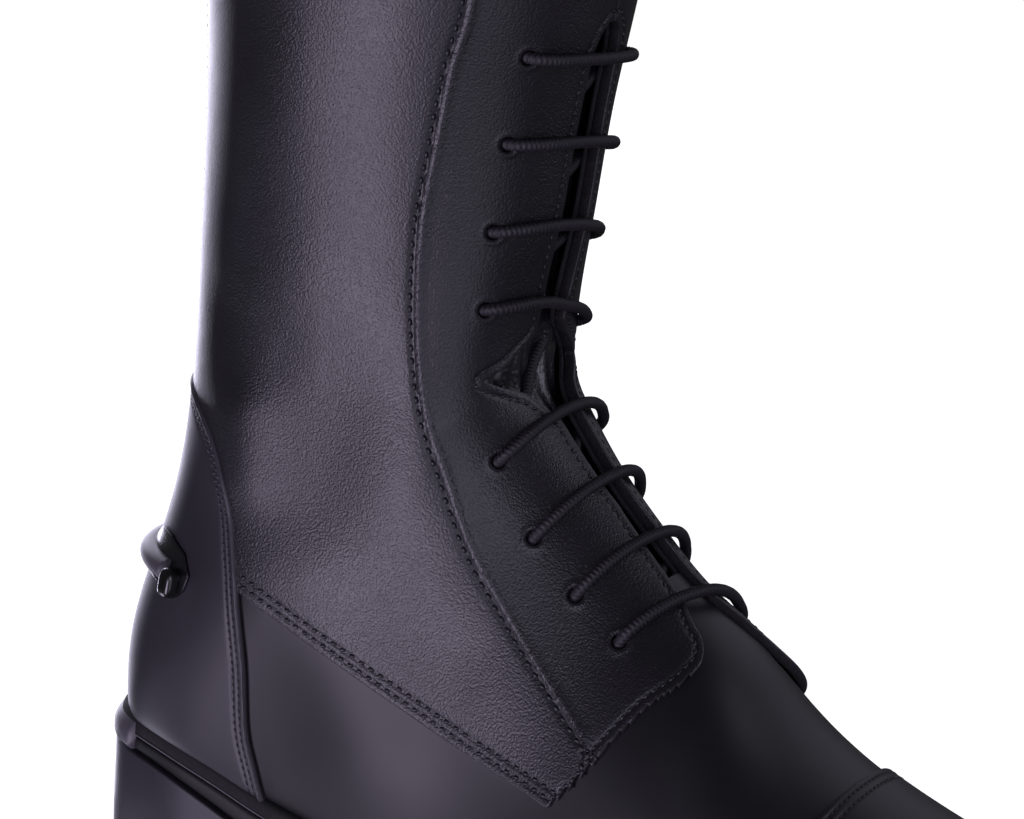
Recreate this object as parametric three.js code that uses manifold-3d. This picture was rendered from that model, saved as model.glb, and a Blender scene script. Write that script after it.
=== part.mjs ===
// A tall lace-up riding boot for the right foot, standing empty on its heel and tread.
// Millimetres. +X points to the toe, +Z up, and -Y is the outer side. The origin is the centre of the
// heel's ground face. Inside this file x starts at the heel's back edge, and the whole group is shifted last.
import * as THREE from 'three';
import { mergeVertices } from 'three/addons/utils/BufferGeometryUtils.js';
import Module from 'manifold-3d';

const wasm = await Module();
wasm.setup();

// Driving sizes
const FOOT_LENGTH = 270; // heel back to toe tip, where the upper meets the welt
const BALL_WIDTH = 96; // widest part of the upper
const INSTEP_HEIGHT = 123; // front of the ankle bend above the front of the heel seat
const SHAFT_HEIGHT = 480; // collar above the floor
const SHAFT_DEPTH = 126; // calf, front to back
const SHAFT_WIDTH = 107; // calf, side to side
const HEEL_HEIGHT = 25; // heel block and top piece together under the front of the heel seat
const SEAT_RISE = 8.5; // the back of the heel seat above its front
const TOP_PIECE_HEIGHT = 6;
const HEEL_LENGTH = 62; // heel back to heel breast at the ground
const HEEL_TAPER = 1.2; // the heel's ground face lies this far inside its seat
const BREAST_LEAN = 0.14; // how far the heel breast leans forward for its height
const OUTSOLE_THICKNESS = 6;
const SEAT_OUTSOLE = 3.8; // the outsole over the back of the heel
const WELT_THICKNESS = 4.4;
const WELT_REACH = 3.2; // welt beyond the upper at the heel
const WELT_TOE_REACH = 5.5; // welt beyond the upper at the toe
const LEDGE_REACH = 2.2; // how much further the welt and heel stand out at the very back
const TOE_SPRING = 9;
const INSOLE_THICKNESS = 3;
const WALL = 2; // inner wall of the upper
const QUARTER_LAYER = 1.3; // shaft and quarters over the vamp
const FACING_LAYER = 0.7; // eyelet facing over the quarter
const CAP_LAYER = 1.4; // toe cap over the vamp
const COUNTER_LAYER = 1.6; // heel counter over the inner wall
const TONGUE_THICKNESS = 2;
const TONGUE_REACH = 26; // the band along the front edge that holds the tongue
const LACE_DIAMETER = 3;
const EYELET_DIAMETER = 4.2;
const EYELET_OFFSET = 24; // eyelets from the middle of the throat
const ZIP_WIDTH = 20;
const SPUR_REST_HEIGHT = 6.6;
const SPUR_REST_REACH = 3;
const GAP = 0.3; // clearance between neighbouring pieces

// Levels that follow from the stack of sole pieces
const TREAD_FEATHER = OUTSOLE_THICKNESS + WELT_THICKNESS + 2 * GAP;
const SEAT_FEATHER = TREAD_FEATHER + HEEL_HEIGHT;

// Where the sole line bends, as shares of FOOT_LENGTH
const LEDGE_END = [0, 0.07]; // the ledge at the very back fades out
const SEAT_SLOPE = [0.07, 0.24]; // the raised back of the heel seat falls to its front
const ARCH_SLOPE = [0.16, 0.6]; // the seat falls to the tread
const SPRING_START = 0.72; // the toe begins to rise

// The sections fan out from the toe, round the ankle bend, and up the shaft. Each runs in the side view
// from the front edge through a middle point to the sole line, or to the back edge above the heel.
// FOOT columns: front x, front z, middle x, middle z, back x, back z, outer half width, inner half width,
// outer half width at the end of the section, inner half width there, front power, back power, shift to the
// inner side. x is a share of FOOT_LENGTH, z a share of INSTEP_HEIGHT above the foot's level, y a share of
// BALL_WIDTH.
const FOOT = [
  [1.0, 0.0, 1.0, 0.0, 1.0, 0, 0.0, 0.0, 0.0, 0.0, 2.0, 2.2, 0.094],
  [0.985, 0.162, 0.985, 0.056, 0.985, 0, 0.177, 0.156, 0.167, 0.151, 2.0, 2.2, 0.09],
  [0.948, 0.276, 0.948, 0.106, 0.948, 0, 0.312, 0.271, 0.292, 0.255, 2.05, 2.2, 0.079],
  [0.881, 0.362, 0.881, 0.138, 0.881, 0, 0.432, 0.39, 0.396, 0.354, 2.1, 2.2, 0.058],
  [0.785, 0.47, 0.781, 0.159, 0.778, 0, 0.505, 0.464, 0.469, 0.443, 2.1, 2.2, 0.029],
  [0.713, 0.581, 0.689, 0.179, 0.678, 0, 0.52, 0.48, 0.474, 0.438, 2.15, 2.2, 0.008],
  [0.657, 0.694, 0.604, 0.218, 0.581, 0, 0.484, 0.443, 0.427, 0.375, 2.2, 2.2, 0],
  [0.6, 0.736, 0.522, 0.26, 0.474, 0, 0.427, 0.396, 0.38, 0.318, 2.2, 2.2, 0],
  [0.543, 0.763, 0.444, 0.296, 0.356, 0, 0.39, 0.37, 0.354, 0.312, 2.2, 2.3, 0],
  [0.487, 0.81, 0.37, 0.372, 0.23, 0, 0.375, 0.365, 0.344, 0.333, 2.2, 2.4, 0],
  [0.444, 0.906, 0.318, 0.496, 0.104, 0, 0.38, 0.375, 0.335, 0.33, 2.2, 2.4, 0],
  [0.417, 1.008, 0.281, 0.618, 0.008, 0, 0.396, 0.391, 0.335, 0.33, 2.2, 2.3, 0],
  [0.418, 1.126, 0.259, 0.764, 0.003, 0.195, 0.396, 0.391, 0.365, 0.36, 2.2, 2.2, 0],
  [0.43, 1.3, 0.244, 1.008, 0.0385, 0.561, 0.391, 0.385, 0.391, 0.385, 2.2, 2.2, 0],
  [0.439, 1.537, 0.241, 1.374, 0.046, 1.05, 0.411, 0.411, 0.411, 0.411, 2.2, 2.1, 0],
];
const HEEL_CORNER = 11; // the section that ends at the back of the sole line
const ANKLE_TOP = 1.537; // where the FOOT sections end at the front
const SHAFT_MIDDLE = 0.245;
// SHAFT columns: front x, front z, middle x, middle z, back x, back z, half width, front power. x is a share
// of SHAFT_DEPTH in front of SHAFT_MIDDLE, z of the height from the ankle to the collar, y of SHAFT_WIDTH.
const SHAFT = [
  [0.451, 0.145, 0, 0.118, -0.467, 0.059, 0.421, 2.15],
  [0.482, 0.372, 0, 0.365, -0.532, 0.341, 0.477, 2.1],
  [0.498, 0.608, 0, 0.608, -0.545, 0.6, 0.505, 2.1],
  [0.498, 0.843, 0, 0.843, -0.525, 0.843, 0.5, 2.1],
  [0.49, 1.0, 0, 1.0, -0.505, 1.0, 0.486, 2.1],
];
// How the sides close to the back edge, one row for each section from HEEL_CORNER up: depth of the rounding
// as a share of SHAFT_DEPTH, its power, and its exponent, where a larger one gives a sharper edge
const BACK_ROUNDING = [
  [0.28, 2.2, 0.455], [0.35, 2.2, 0.46], [0.44, 2.2, 0.47], [0.44, 2.1, 0.56], [0.45, 2.0, 0.72],
  [0.51, 2.0, 0.68], [0.53, 2.0, 0.64], [0.515, 2.0, 0.6], [0.505, 2.0, 0.58],
];

// Outlines seen from the side, as shares of FOOT_LENGTH and of INSTEP_HEIGHT above SEAT_FEATHER
const FACING_SEAM = [
  [0.4, 3.7], [0.395, 2.6], [0.385, 2.05], [0.372, 1.77], [0.357, 1.63], [0.345, 1.455], [0.337, 1.295],
  [0.34, 1.11], [0.355, 0.93], [0.38, 0.795], [0.413, 0.65], [0.454, 0.538], [0.506, 0.42], [0.56, 0.317],
];
const FLAP_END = [[0.585, 0.291], [0.614, 0.394], [0.634, 0.441], [0.644, 0.488], [0.655, 0.585]];
const WING_SEAM = [[0.544, 0.172], [0.451, 0.227], [0.37, 0.288], [0.277, 0.367], [0.184, 0.447], [0.1, 0.5]];
const COUNTER_EDGE = [
  [0.25, -0.3], [0.236, -0.1], [0.215, 0.05], [0.202, 0.143], [0.196, 0.3], [0.185, 0.444],
  [0.175, 0.537], [0.16, 0.655], [0.128, 0.758], [0.072, 0.83], [0.0, 0.87],
];
const CAP_EDGE = [[0.802, 0.36], [0.779, 0.231], [0.763, 0.114], [0.752, -0.05], [0.745, -0.3]];
const NOTCH = [[0.401, 0.985], [0.422, 1.138], [0.474, 1.057], [0.441, 0.915]];
const SPUR_REST_END = [0.105, 0.44];
const BACK_TAB = [0.05, 0.26];

// The throat runs up the front edge: a section number and the slot's half width as a share of BALL_WIDTH
const THROAT = [
  [6.2, 0.13], [6.6, 0.11], [7.0, 0.07], [7.4, 0.055], [8.5, 0.042], [10.5, 0.062], [12.5, 0.073],
  [14.0, 0.066], [14.45, 0.064], [14.6, 0.045], [14.68, 0.015],
];
const THROAT_OPENS = 3; // below this row of THROAT the slot parts only the facings
const LACE_SECTIONS = [7.25, 8.05, 8.87, 10.0, 12.27, 13.17, 13.85, 14.46];
const TONGUE_SECTIONS = [6.3, 14.78];
const TONGUE_DEPTH = 0.6; // the tongue's sides reach this far behind the front edge, as a share of its reach

// A natural cubic spline through the values at the knots
function spline(knots, values) {
  const n = knots.length;
  const gaps = knots.slice(1).map((k, i) => k - knots[i]);
  const slopes = gaps.map((h, i) => (values[i + 1] - values[i]) / h);
  const pivot = new Array(n).fill(0);
  const bend = new Array(n).fill(0);
  for (let i = 1; i < n - 1; i++) {
    const p = 2 * (gaps[i - 1] + gaps[i]) - gaps[i - 1] * pivot[i - 1];
    pivot[i] = gaps[i] / p;
    bend[i] = (6 * (slopes[i] - slopes[i - 1]) - gaps[i - 1] * bend[i - 1]) / p;
  }
  for (let i = n - 2; i > 0; i--) bend[i] -= pivot[i] * bend[i + 1];
  return (u) => {
    let i = 0;
    while (i < n - 2 && u > knots[i + 1]) i++;
    const h = gaps[i];
    const a = (knots[i + 1] - u) / h;
    const b = 1 - a;
    const curve = ((a ** 3 - a) * bend[i] + (b ** 3 - b) * bend[i + 1]) * h * h / 6;
    return a * values[i] + b * values[i + 1] + curve;
  };
}

function smoothStep(t) {
  const c = Math.min(Math.max(t, 0), 1);
  return c * c * (3 - 2 * c);
}

// How far a slope between two shares of FOOT_LENGTH has been passed at x
function passed([start, end], x) {
  return smoothStep((x / FOOT_LENGTH - start) / (end - start));
}

// Height of the foot's level, which the sections are measured from
function levelZ(x) {
  const spring = Math.max((x / FOOT_LENGTH - SPRING_START) / (1 - SPRING_START), 0) ** 2;
  return SEAT_FEATHER + (TREAD_FEATHER - SEAT_FEATHER) * passed(ARCH_SLOPE, x) + TOE_SPRING * spring;
}

// Height of the sole line, where the upper meets the welt. At the back it rises above the foot's level.
function featherZ(x) {
  return levelZ(x) + SEAT_RISE * (1 - passed(SEAT_SLOPE, x));
}

// The section table in millimetres, with the columns of FOOT
function sectionRows() {
  const foot = FOOT.map(([fx, fz, mx, mz, bx, bz, outer, inner, endOuter, endInner, pf, pb, shift], i) => {
    const base = levelZ(bx * FOOT_LENGTH);
    const end = i > HEEL_CORNER ? base + bz * INSTEP_HEIGHT : featherZ(bx * FOOT_LENGTH);
    return [
      fx * FOOT_LENGTH, base + fz * INSTEP_HEIGHT, mx * FOOT_LENGTH, base + mz * INSTEP_HEIGHT,
      bx * FOOT_LENGTH, end, outer * BALL_WIDTH, inner * BALL_WIDTH,
      endOuter * BALL_WIDTH, endInner * BALL_WIDTH, pf, pb, shift * BALL_WIDTH,
    ];
  });
  const ankleZ = SEAT_FEATHER + ANKLE_TOP * INSTEP_HEIGHT;
  const rise = SHAFT_HEIGHT - ankleZ;
  const middle = SHAFT_MIDDLE * FOOT_LENGTH;
  const shaft = SHAFT.map(([fx, fz, mx, mz, bx, bz, half, pf]) => [
    middle + fx * SHAFT_DEPTH, ankleZ + fz * rise, middle + mx * SHAFT_DEPTH, ankleZ + mz * rise,
    middle + bx * SHAFT_DEPTH, ankleZ + bz * rise, ...new Array(4).fill(half * SHAFT_WIDTH), pf, pf, 0,
  ]);
  return [...foot, ...shaft];
}

// Splines through the columns. A section number counts rows of the table, with parts of a row between them.
const ROWS = sectionRows();
const KNOTS = ROWS.reduce((knots, row, i) => {
  if (i === 0) return [0];
  const before = ROWS[i - 1];
  const squares = [0, 1, 2, 3, 4, 5].map((c) => (row[c] - before[c]) ** 2);
  return [...knots, knots[i - 1] + Math.sqrt(squares.reduce((sum, q) => sum + q) / 3)];
}, []);
const LAST_KNOT = KNOTS[KNOTS.length - 1];
const columnSpline = (c) => spline(KNOTS, ROWS.map((row) => row[c]));
const squareSpline = (c) => spline(KNOTS, ROWS.map((row) => row[c] ** 2));
const [frontX, frontZ, middleX, middleZ] = [0, 1, 2, 3].map(columnSpline);
const [frontPower, backPower, shiftY] = [10, 11, 12].map(columnSpline);
const halfSquares = [6, 7].map(squareSpline);
const endSquares = [8, 9].map(squareSpline);

// The sole line runs along the lower rows, and the back edge up the others as a curve over z
const CORNER_KNOT = KNOTS[HEEL_CORNER];
const soleX = spline(KNOTS.slice(0, HEEL_CORNER + 1), ROWS.slice(0, HEEL_CORNER + 1).map((row) => row[4]));
const BACK_ROWS = ROWS.slice(HEEL_CORNER);
const backZ = spline(KNOTS.slice(HEEL_CORNER), BACK_ROWS.map((row) => row[5]));
const backHeights = BACK_ROWS.map((row) => row[5]);
const backX = spline(backHeights, BACK_ROWS.map((row) => row[4]));
const [roundDepth, roundPower, roundExponent] = [0, 1, 2].map((c) =>
  spline(backHeights, BACK_ROUNDING.map((row) => row[c])));

function knotOf(section) {
  const i = Math.min(Math.floor(section), KNOTS.length - 2);
  return KNOTS[i] + (section - i) * (KNOTS[i + 1] - KNOTS[i]);
}

// How far the sides have closed at a point of the side view: 0 on the back edge, 1 away from it
function backClosing(x, z) {
  const level = Math.max(z, backHeights[0]);
  const share = (x - backX(level)) / (roundDepth(level) * SHAFT_DEPTH);
  const rest = 1 - Math.min(Math.max(share, 0), 1);
  return (1 - rest ** roundPower(level)) ** roundExponent(level);
}

// A point of the upper's surface. s runs from 0 on the front edge to 2 at the sole line or back edge.
// side is -1 for the outer half and 1 for the inner half.
function surfacePoint(u, s, side) {
  const onSole = u < CORNER_KNOT;
  const bz = onSole ? featherZ(soleX(u)) : backZ(u);
  const bx = onSole ? soleX(u) : backX(bz);
  const front = ((1 - s) * (2 - s)) / 2;
  const middle = s * (2 - s);
  const back = (s * (s - 1)) / 2;
  const x = front * frontX(u) + middle * middleX(u) + back * bx;
  const z = front * frontZ(u) + middle * middleZ(u) + back * bz;
  const hand = side < 0 ? 0 : 1;
  const half = Math.sqrt(Math.max(halfSquares[hand](u), 0));
  const end = Math.sqrt(Math.max(endSquares[hand](u), 0));
  const power = s < 1 ? frontPower(u) : backPower(u);
  const share = Math.max(1 - Math.abs(1 - s) ** power, 0) ** (1 / power);
  const reach = s < 1 ? half * share : (end + (half - end) * share) * backClosing(x, z);
  return new THREE.Vector3(x, shiftY(u) + side * reach, z);
}

// Manifold solids to and from three.js geometry
const MERGE_DISTANCE = 1e-4;
function solidOf(geometry) {
  const bare = geometry.index ? geometry.toNonIndexed() : geometry.clone();
  bare.deleteAttribute('normal');
  bare.deleteAttribute('uv');
  const merged = mergeVertices(bare, MERGE_DISTANCE);
  const faces = [];
  for (let i = 0; i < merged.index.count; i += 3) {
    const [a, b, c] = [0, 1, 2].map((k) => merged.index.getX(i + k));
    if (a !== b && b !== c && c !== a) faces.push(a, b, c);
  }
  return new wasm.Manifold(new wasm.Mesh({
    numProp: 3,
    vertProperties: merged.attributes.position.array,
    triVerts: new Uint32Array(faces),
  }));
}

function geometryOf(solid) {
  const mesh = solid.getMesh();
  const geometry = new THREE.BufferGeometry();
  const positions = new Float32Array(mesh.numVert * 3);
  for (let i = 0; i < mesh.numVert; i++) {
    for (let k = 0; k < 3; k++) positions[3 * i + k] = mesh.vertProperties[i * mesh.numProp + k];
  }
  geometry.setAttribute('position', new THREE.BufferAttribute(positions, 3));
  geometry.setIndex(new THREE.BufferAttribute(new Uint32Array(mesh.triVerts), 1));
  geometry.computeVertexNormals();
  return geometry;
}

// The largest single body of a cut solid
function mainBody(solid) {
  const bodies = solid.decompose();
  return bodies.reduce((best, body) => (body.volume() > best.volume() ? body : best));
}

// Stations along the boot and round each section. They crowd at the toe tip and at the heel's corner, where
// the sole line turns round.
const STEP_ALONG = 15;
const STEPS_ROUND = 6;
function stationsAlong() {
  const stations = [0];
  for (let i = 1; i < KNOTS.length; i++) {
    const span = KNOTS[i] - KNOTS[i - 1];
    const step = i < FOOT.length ? STEP_ALONG : 2 * STEP_ALONG;
    const count = Math.max(Math.round(span / step), 1) + (i === 1 || i === HEEL_CORNER ? 2 : 0);
    for (let k = 1; k <= count; k++) {
      const even = k / count;
      const share = i === 1 ? even ** 2 : i === HEEL_CORNER ? 1 - (1 - even) ** 2 : even;
      stations.push(KNOTS[i - 1] + span * share);
    }
  }
  return stations;
}
function stationsRound() {
  const quarter = Array.from({ length: STEPS_ROUND }, (_, k) => 1 - Math.cos(Math.PI / 2 * k / STEPS_ROUND));
  return [...quarter, 1, ...quarter.slice(0, STEPS_ROUND).map((s) => 2 - s).reverse()];
}

// The open surface of the upper as merged points, faces turned outwards, and a direction off each point
function upperSurface() {
  const along = stationsAlong();
  const round = stationsRound();
  const ring = (u) => [
    ...round.map((s) => surfacePoint(u, s, -1)).reverse(),
    ...round.slice(1).map((s) => surfacePoint(u, s, 1)),
  ];
  const points = [];
  const found = new Map();
  const indexOf = (p) => {
    const key = p.toArray().map((v) => Math.round(v / (10 * MERGE_DISTANCE))).join();
    if (!found.has(key)) found.set(key, points.push(p) - 1);
    return found.get(key);
  };
  const rings = along.map((u) => ring(u).map(indexOf));
  const faces = [];
  const addFace = (a, b, c) => {
    if (a !== b && b !== c && c !== a) faces.push([a, b, c]);
  };
  for (let i = 1; i < rings.length; i++) {
    for (let j = 1; j < rings[i].length; j++) {
      addFace(rings[i - 1][j - 1], rings[i - 1][j], rings[i][j]);
      addFace(rings[i - 1][j - 1], rings[i][j], rings[i][j - 1]);
    }
  }
  const off = points.map(() => new THREE.Vector3());
  for (const [a, b, c] of faces) {
    const across = points[b].clone().sub(points[a]);
    const normal = across.cross(points[c].clone().sub(points[a]));
    for (const i of [a, b, c]) off[i].add(normal);
  }
  off.forEach((v) => v.normalize());
  return { points, faces, off };
}
const SURFACE = upperSurface();

// A closed sheet that follows the upper's surface between two distances from it
function sheet(inside, outside) {
  const { points, faces, off } = SURFACE;
  const layer = (distance) => points.map((p, i) => p.clone().addScaledVector(off[i], distance));
  const outer = layer(outside);
  const inner = layer(inside);
  const corners = [];
  const edges = new Map();
  for (const [a, b, c] of faces) {
    corners.push(outer[a], outer[b], outer[c], inner[a], inner[c], inner[b]);
    for (const [p, q] of [[a, b], [b, c], [c, a]]) edges.set(`${p},${q}`, [p, q]);
  }
  for (const [key, [p, q]] of edges) {
    if (edges.has(`${q},${p}`)) continue;
    corners.push(outer[q], outer[p], inner[p], outer[q], inner[p], inner[q]);
  }
  return solidOf(new THREE.BufferGeometry().setFromPoints(corners));
}

// A prism across the boot: an outline in the side view, between two values of y
function prism(outline, from = -BALL_WIDTH, to = BALL_WIDTH) {
  const shape = new THREE.Shape(outline.map(([x, z]) => new THREE.Vector2(x, z)));
  const geometry = new THREE.ExtrudeGeometry(shape, { depth: to - from, bevelEnabled: false });
  geometry.rotateX(Math.PI / 2).translate(0, to, 0);
  return solidOf(geometry);
}

const FAR = FOOT_LENGTH;
const placed = ([x, z]) => [x * FOOT_LENGTH, SEAT_FEATHER + z * INSTEP_HEIGHT];
function curved(points, steps) {
  const curve = new THREE.SplineCurve(points.map((p) => new THREE.Vector2(...placed(p))));
  return curve.getPoints(steps).map((p) => [p.x, p.y]);
}

// Everything below the sole line, cut off the sheets that stand on the welt
const FEATHER_STEPS = 80;
function belowFeather() {
  const start = -FAR / 4;
  const end = 1.25 * FAR;
  const at = (i) => start + (i / FEATHER_STEPS) * (end - start);
  const line = Array.from({ length: FEATHER_STEPS + 1 }, (_, i) => [at(i), featherZ(at(i))]);
  return prism([...line, [end, -FAR], [start, -FAR]]);
}

// The front edge at a section: its point, and the direction off it in the side view
function frontFrame(u) {
  const point = surfacePoint(u, 0, 1);
  const along = surfacePoint(Math.min(u + 1, LAST_KNOT), 0, 1).sub(surfacePoint(Math.max(u - 1, 0), 0, 1));
  along.normalize();
  return { point, out: new THREE.Vector3(along.z, 0, -along.x) };
}

// A bar of box sections along the front edge, which cuts the throat's slot
function throatSlot(firstRow) {
  const depth = TONGUE_REACH / 2;
  const stations = THROAT.slice(firstRow).map(([section, half]) => {
    const { point, out } = frontFrame(knotOf(section));
    return [[-1, -1], [1, -1], [1, 1], [-1, 1]].map(([off, side]) =>
      point.clone().addScaledVector(out, off * depth).setY(point.y + side * half * BALL_WIDTH));
  });
  const corners = [];
  const quad = (a, b, c, d) => corners.push(a, b, c, a, c, d);
  for (let i = 1; i < stations.length; i++) {
    for (let k = 0; k < 4; k++) {
      const next = (k + 1) % 4;
      quad(stations[i - 1][k], stations[i - 1][next], stations[i][next], stations[i][k]);
    }
  }
  quad(...[3, 2, 1, 0].map((k) => stations[0][k]));
  quad(...stations[stations.length - 1]);
  return solidOf(new THREE.BufferGeometry().setFromPoints(corners));
}

// The point of the front at a distance y from its middle, and the direction off the surface there, which
// comes from a short step along the boot and a short step round the section
const STEP_U = 0.5;
const STEP_S = 0.01;
function facingPoint(u, y) {
  const side = y < 0 ? -1 : 1;
  const half = Math.sqrt(halfSquares[side < 0 ? 0 : 1](u));
  const power = frontPower(u);
  const s = 1 - (1 - (Math.abs(y) / half) ** power) ** (1 / power);
  const point = surfacePoint(u, s, side);
  const aheadU = surfacePoint(u + STEP_U, s, side).sub(point);
  const aheadS = surfacePoint(u, s + STEP_S, side).sub(point);
  const normal = aheadU.cross(aheadS).normalize();
  return { point, normal: normal.x < 0 ? normal.negate() : normal };
}

// A round tube through the points
function tube(points, diameter) {
  const sides = 8;
  const path = new THREE.CatmullRomCurve3(points);
  const steps = Math.ceil(path.getLength() / (2.5 * diameter));
  const section = new THREE.Shape(Array.from({ length: sides }, (_, k) => {
    const angle = (2 * Math.PI * k) / sides;
    return new THREE.Vector2((diameter / 2) * Math.cos(angle), (diameter / 2) * Math.sin(angle));
  }));
  return solidOf(new THREE.ExtrudeGeometry(section, { steps, bevelEnabled: false, extrudePath: path }));
}

// Outlines in the side view, in millimetres
const shaftTop = SHAFT_HEIGHT + INSTEP_HEIGHT;
const seam = curved(FACING_SEAM, 26);
const flapEnd = curved(FLAP_END, 8);
const wing = curved(WING_SEAM, 10);
const counterEdge = curved(COUNTER_EDGE, 20);
const capEdge = curved(CAP_EDGE, 8);
const counterTop = counterEdge[counterEdge.length - 1][1];
const quarterOutline = [
  [-FAR, shaftTop], [-FAR, wing[wing.length - 1][1]], ...wing.slice().reverse(), ...flapEnd,
  [FAR, SHAFT_HEIGHT / 2], [FAR, shaftTop],
];
const facingOutline = [
  [seam[0][0], shaftTop], ...seam, ...flapEnd, [FAR, SHAFT_HEIGHT / 2], [FAR, shaftTop],
];
const counterOutline = (grown) => [
  [-FAR, -FAR], ...counterEdge.map(([x, z]) => [x + grown, z + grown]), [-FAR, counterTop + grown],
];
const capOutline = [
  ...capEdge.slice().reverse(), [capEdge[0][0], SHAFT_HEIGHT / 4], [2 * FAR, SHAFT_HEIGHT / 4],
  [2 * FAR, capEdge[capEdge.length - 1][1]],
];

// The zip lies in a slot of the shaft's outer layer, down the back edge to the counter
function zipRoom(clearance) {
  const half = ZIP_WIDTH / 2 + clearance;
  const foot = counterTop + 3 * GAP - clearance;
  const front = SHAFT_MIDDLE * FOOT_LENGTH - SHAFT_DEPTH / 4;
  const column = prism([[-FAR, foot], [front, foot], [front, shaftTop], [-FAR, shaftTop]], -half, half);
  return sheet(GAP - clearance, QUARTER_LAYER + 2 * clearance).intersect(column);
}

// The upper is one hollow shell: vamp, quarters with the shaft, and the eyelet facings. The counter's room
// is cut off its layers.
function makeUpper() {
  const counterRoom = prism(counterOutline(1.5 * GAP));
  const layers = sheet(-WALL / 2, QUARTER_LAYER).intersect(prism(quarterOutline))
    .add(sheet(-WALL / 2, QUARTER_LAYER + FACING_LAYER).intersect(prism(facingOutline)))
    .subtract(counterRoom)
    .subtract(throatSlot(0));
  const eyelets = LACE_SECTIONS.flatMap((section) => [-1, 1].map((side) => eyeletHole(section, side)));
  const cuts = [throatSlot(THROAT_OPENS), prism(NOTCH.map(placed)), belowFeather(), zipRoom(GAP), ...eyelets];
  const whole = cuts.reduce((solid, cut) => solid.subtract(cut), sheet(-WALL, 0).add(layers));
  return mainBody(whole);
}
function eyeletHole(section, side) {
  const { point, normal } = facingPoint(knotOf(section), side * EYELET_OFFSET);
  const hole = new THREE.CylinderGeometry(EYELET_DIAMETER / 2, EYELET_DIAMETER / 2, 8 * WALL, 8);
  hole.applyQuaternion(new THREE.Quaternion().setFromUnitVectors(new THREE.Vector3(0, 1, 0), normal));
  hole.translate(...point.toArray());
  return solidOf(hole);
}

function makeZip() {
  return mainBody(zipRoom(0));
}

function makeToeCap() {
  return mainBody(sheet(GAP, CAP_LAYER).intersect(prism(capOutline)).subtract(belowFeather()));
}

function makeCounter() {
  return mainBody(sheet(GAP, COUNTER_LAYER).intersect(prism(counterOutline(0))).subtract(belowFeather()));
}

// The spur rest wraps the back of the counter between two ends, each on a thin pad
function makeSpurRest() {
  const [x, z] = placed(SPUR_REST_END);
  const half = SPUR_REST_HEIGHT / 2;
  const bar = prism([[-FAR, z - half], [x, z - half], [x + half, z], [x, z + half], [-FAR, z + half]]);
  const pad = new THREE.Shape();
  pad.absellipse(x, z, 1.6 * half, 1.8 * half, 0, 2 * Math.PI);
  const padPrism = prism(pad.getPoints(4).slice(0, -1).map((p) => [p.x, p.y]));
  const seat = COUNTER_LAYER + GAP;
  const pads = sheet(seat, seat + SPUR_REST_REACH / 3).intersect(padPrism);
  return mainBody(sheet(seat, seat + SPUR_REST_REACH).intersect(bar).add(pads));
}

// A small tab on the back of the counter, in line with the zip
function makeBackTab() {
  const [x, z] = placed(BACK_TAB);
  const half = ZIP_WIDTH / 3;
  const patch = prism([[-FAR, z - half], [x, z - half], [x, z + half], [-FAR, z + half]], -half, half);
  const seat = COUNTER_LAYER + GAP;
  return mainBody(sheet(seat, seat + QUARTER_LAYER).intersect(patch));
}

// The tongue hangs behind the throat, inside the facings
const TONGUE_STEPS = 23;
function makeTongue() {
  const [first, last] = TONGUE_SECTIONS.map(knotOf);
  const frames = Array.from({ length: TONGUE_STEPS + 1 }, (_, i) =>
    frontFrame(first + ((last - first) * i) / TONGUE_STEPS));
  const offset = (f, d) => [f.point.x + f.out.x * d, f.point.z + f.out.z * d];
  const ahead = frames.map((f) => offset(f, TONGUE_REACH));
  const behind = frames.map((f) => offset(f, -TONGUE_DEPTH * TONGUE_REACH)).reverse();
  const inside = -WALL - GAP;
  return mainBody(sheet(inside - TONGUE_THICKNESS, inside).intersect(prism([...ahead, ...behind])));
}

// The lace crosses the throat in straight bars, joined by a strand that runs up between the facings
function makeLace() {
  const height = QUARTER_LAYER + FACING_LAYER + LACE_DIAMETER / 2 + 3 * GAP;
  const lift = (section, y) => {
    const { point, normal } = facingPoint(knotOf(section), y);
    return point.addScaledVector(normal, height);
  };
  const across = [-1, -0.75, -0.5, -0.25, 0, 0.25, 0.5, 0.75, 1].map((share) => share * EYELET_OFFSET);
  const bars = LACE_SECTIONS.map((section) => tube(across.map((y) => lift(section, y)), LACE_DIAMETER));
  const middles = LACE_SECTIONS.map((section, i) => lift(section, (i % 2 ? -1 : 1) * LACE_DIAMETER));
  return bars.reduce((whole, bar) => whole.add(bar), tube(middles, LACE_DIAMETER));
}

// The sole line as pairs of points, outer and inner, moved outwards in plan. A ledge stands out at the back.
function soleOutline(heelReach, toeReach, ledge) {
  const count = 48;
  const ends = Array.from({ length: count + 1 }, (_, i) => {
    const u = (CORNER_KNOT * (1 - Math.cos((Math.PI * i) / count))) / 2;
    return [surfacePoint(u, 2, -1), surfacePoint(u, 2, 1)];
  });
  const loop = [...ends.map(([outer]) => outer), ...ends.slice(1, count).map(([, inner]) => inner).reverse()];
  const moved = loop.map((p, i) => {
    const before = loop[(i + loop.length - 1) % loop.length];
    const after = loop[(i + 1) % loop.length];
    const along = new THREE.Vector2(after.x - before.x, after.y - before.y).normalize();
    const back = ledge * (1 - passed(LEDGE_END, p.x));
    const reach = back + heelReach + (toeReach - heelReach) * smoothStep(p.x / FOOT_LENGTH);
    return new THREE.Vector2(p.x - along.y * reach, p.y + along.x * reach);
  });
  return moved.slice(0, count + 1).map((p, i) => [p, moved[(moved.length - i) % moved.length]]);
}

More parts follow.
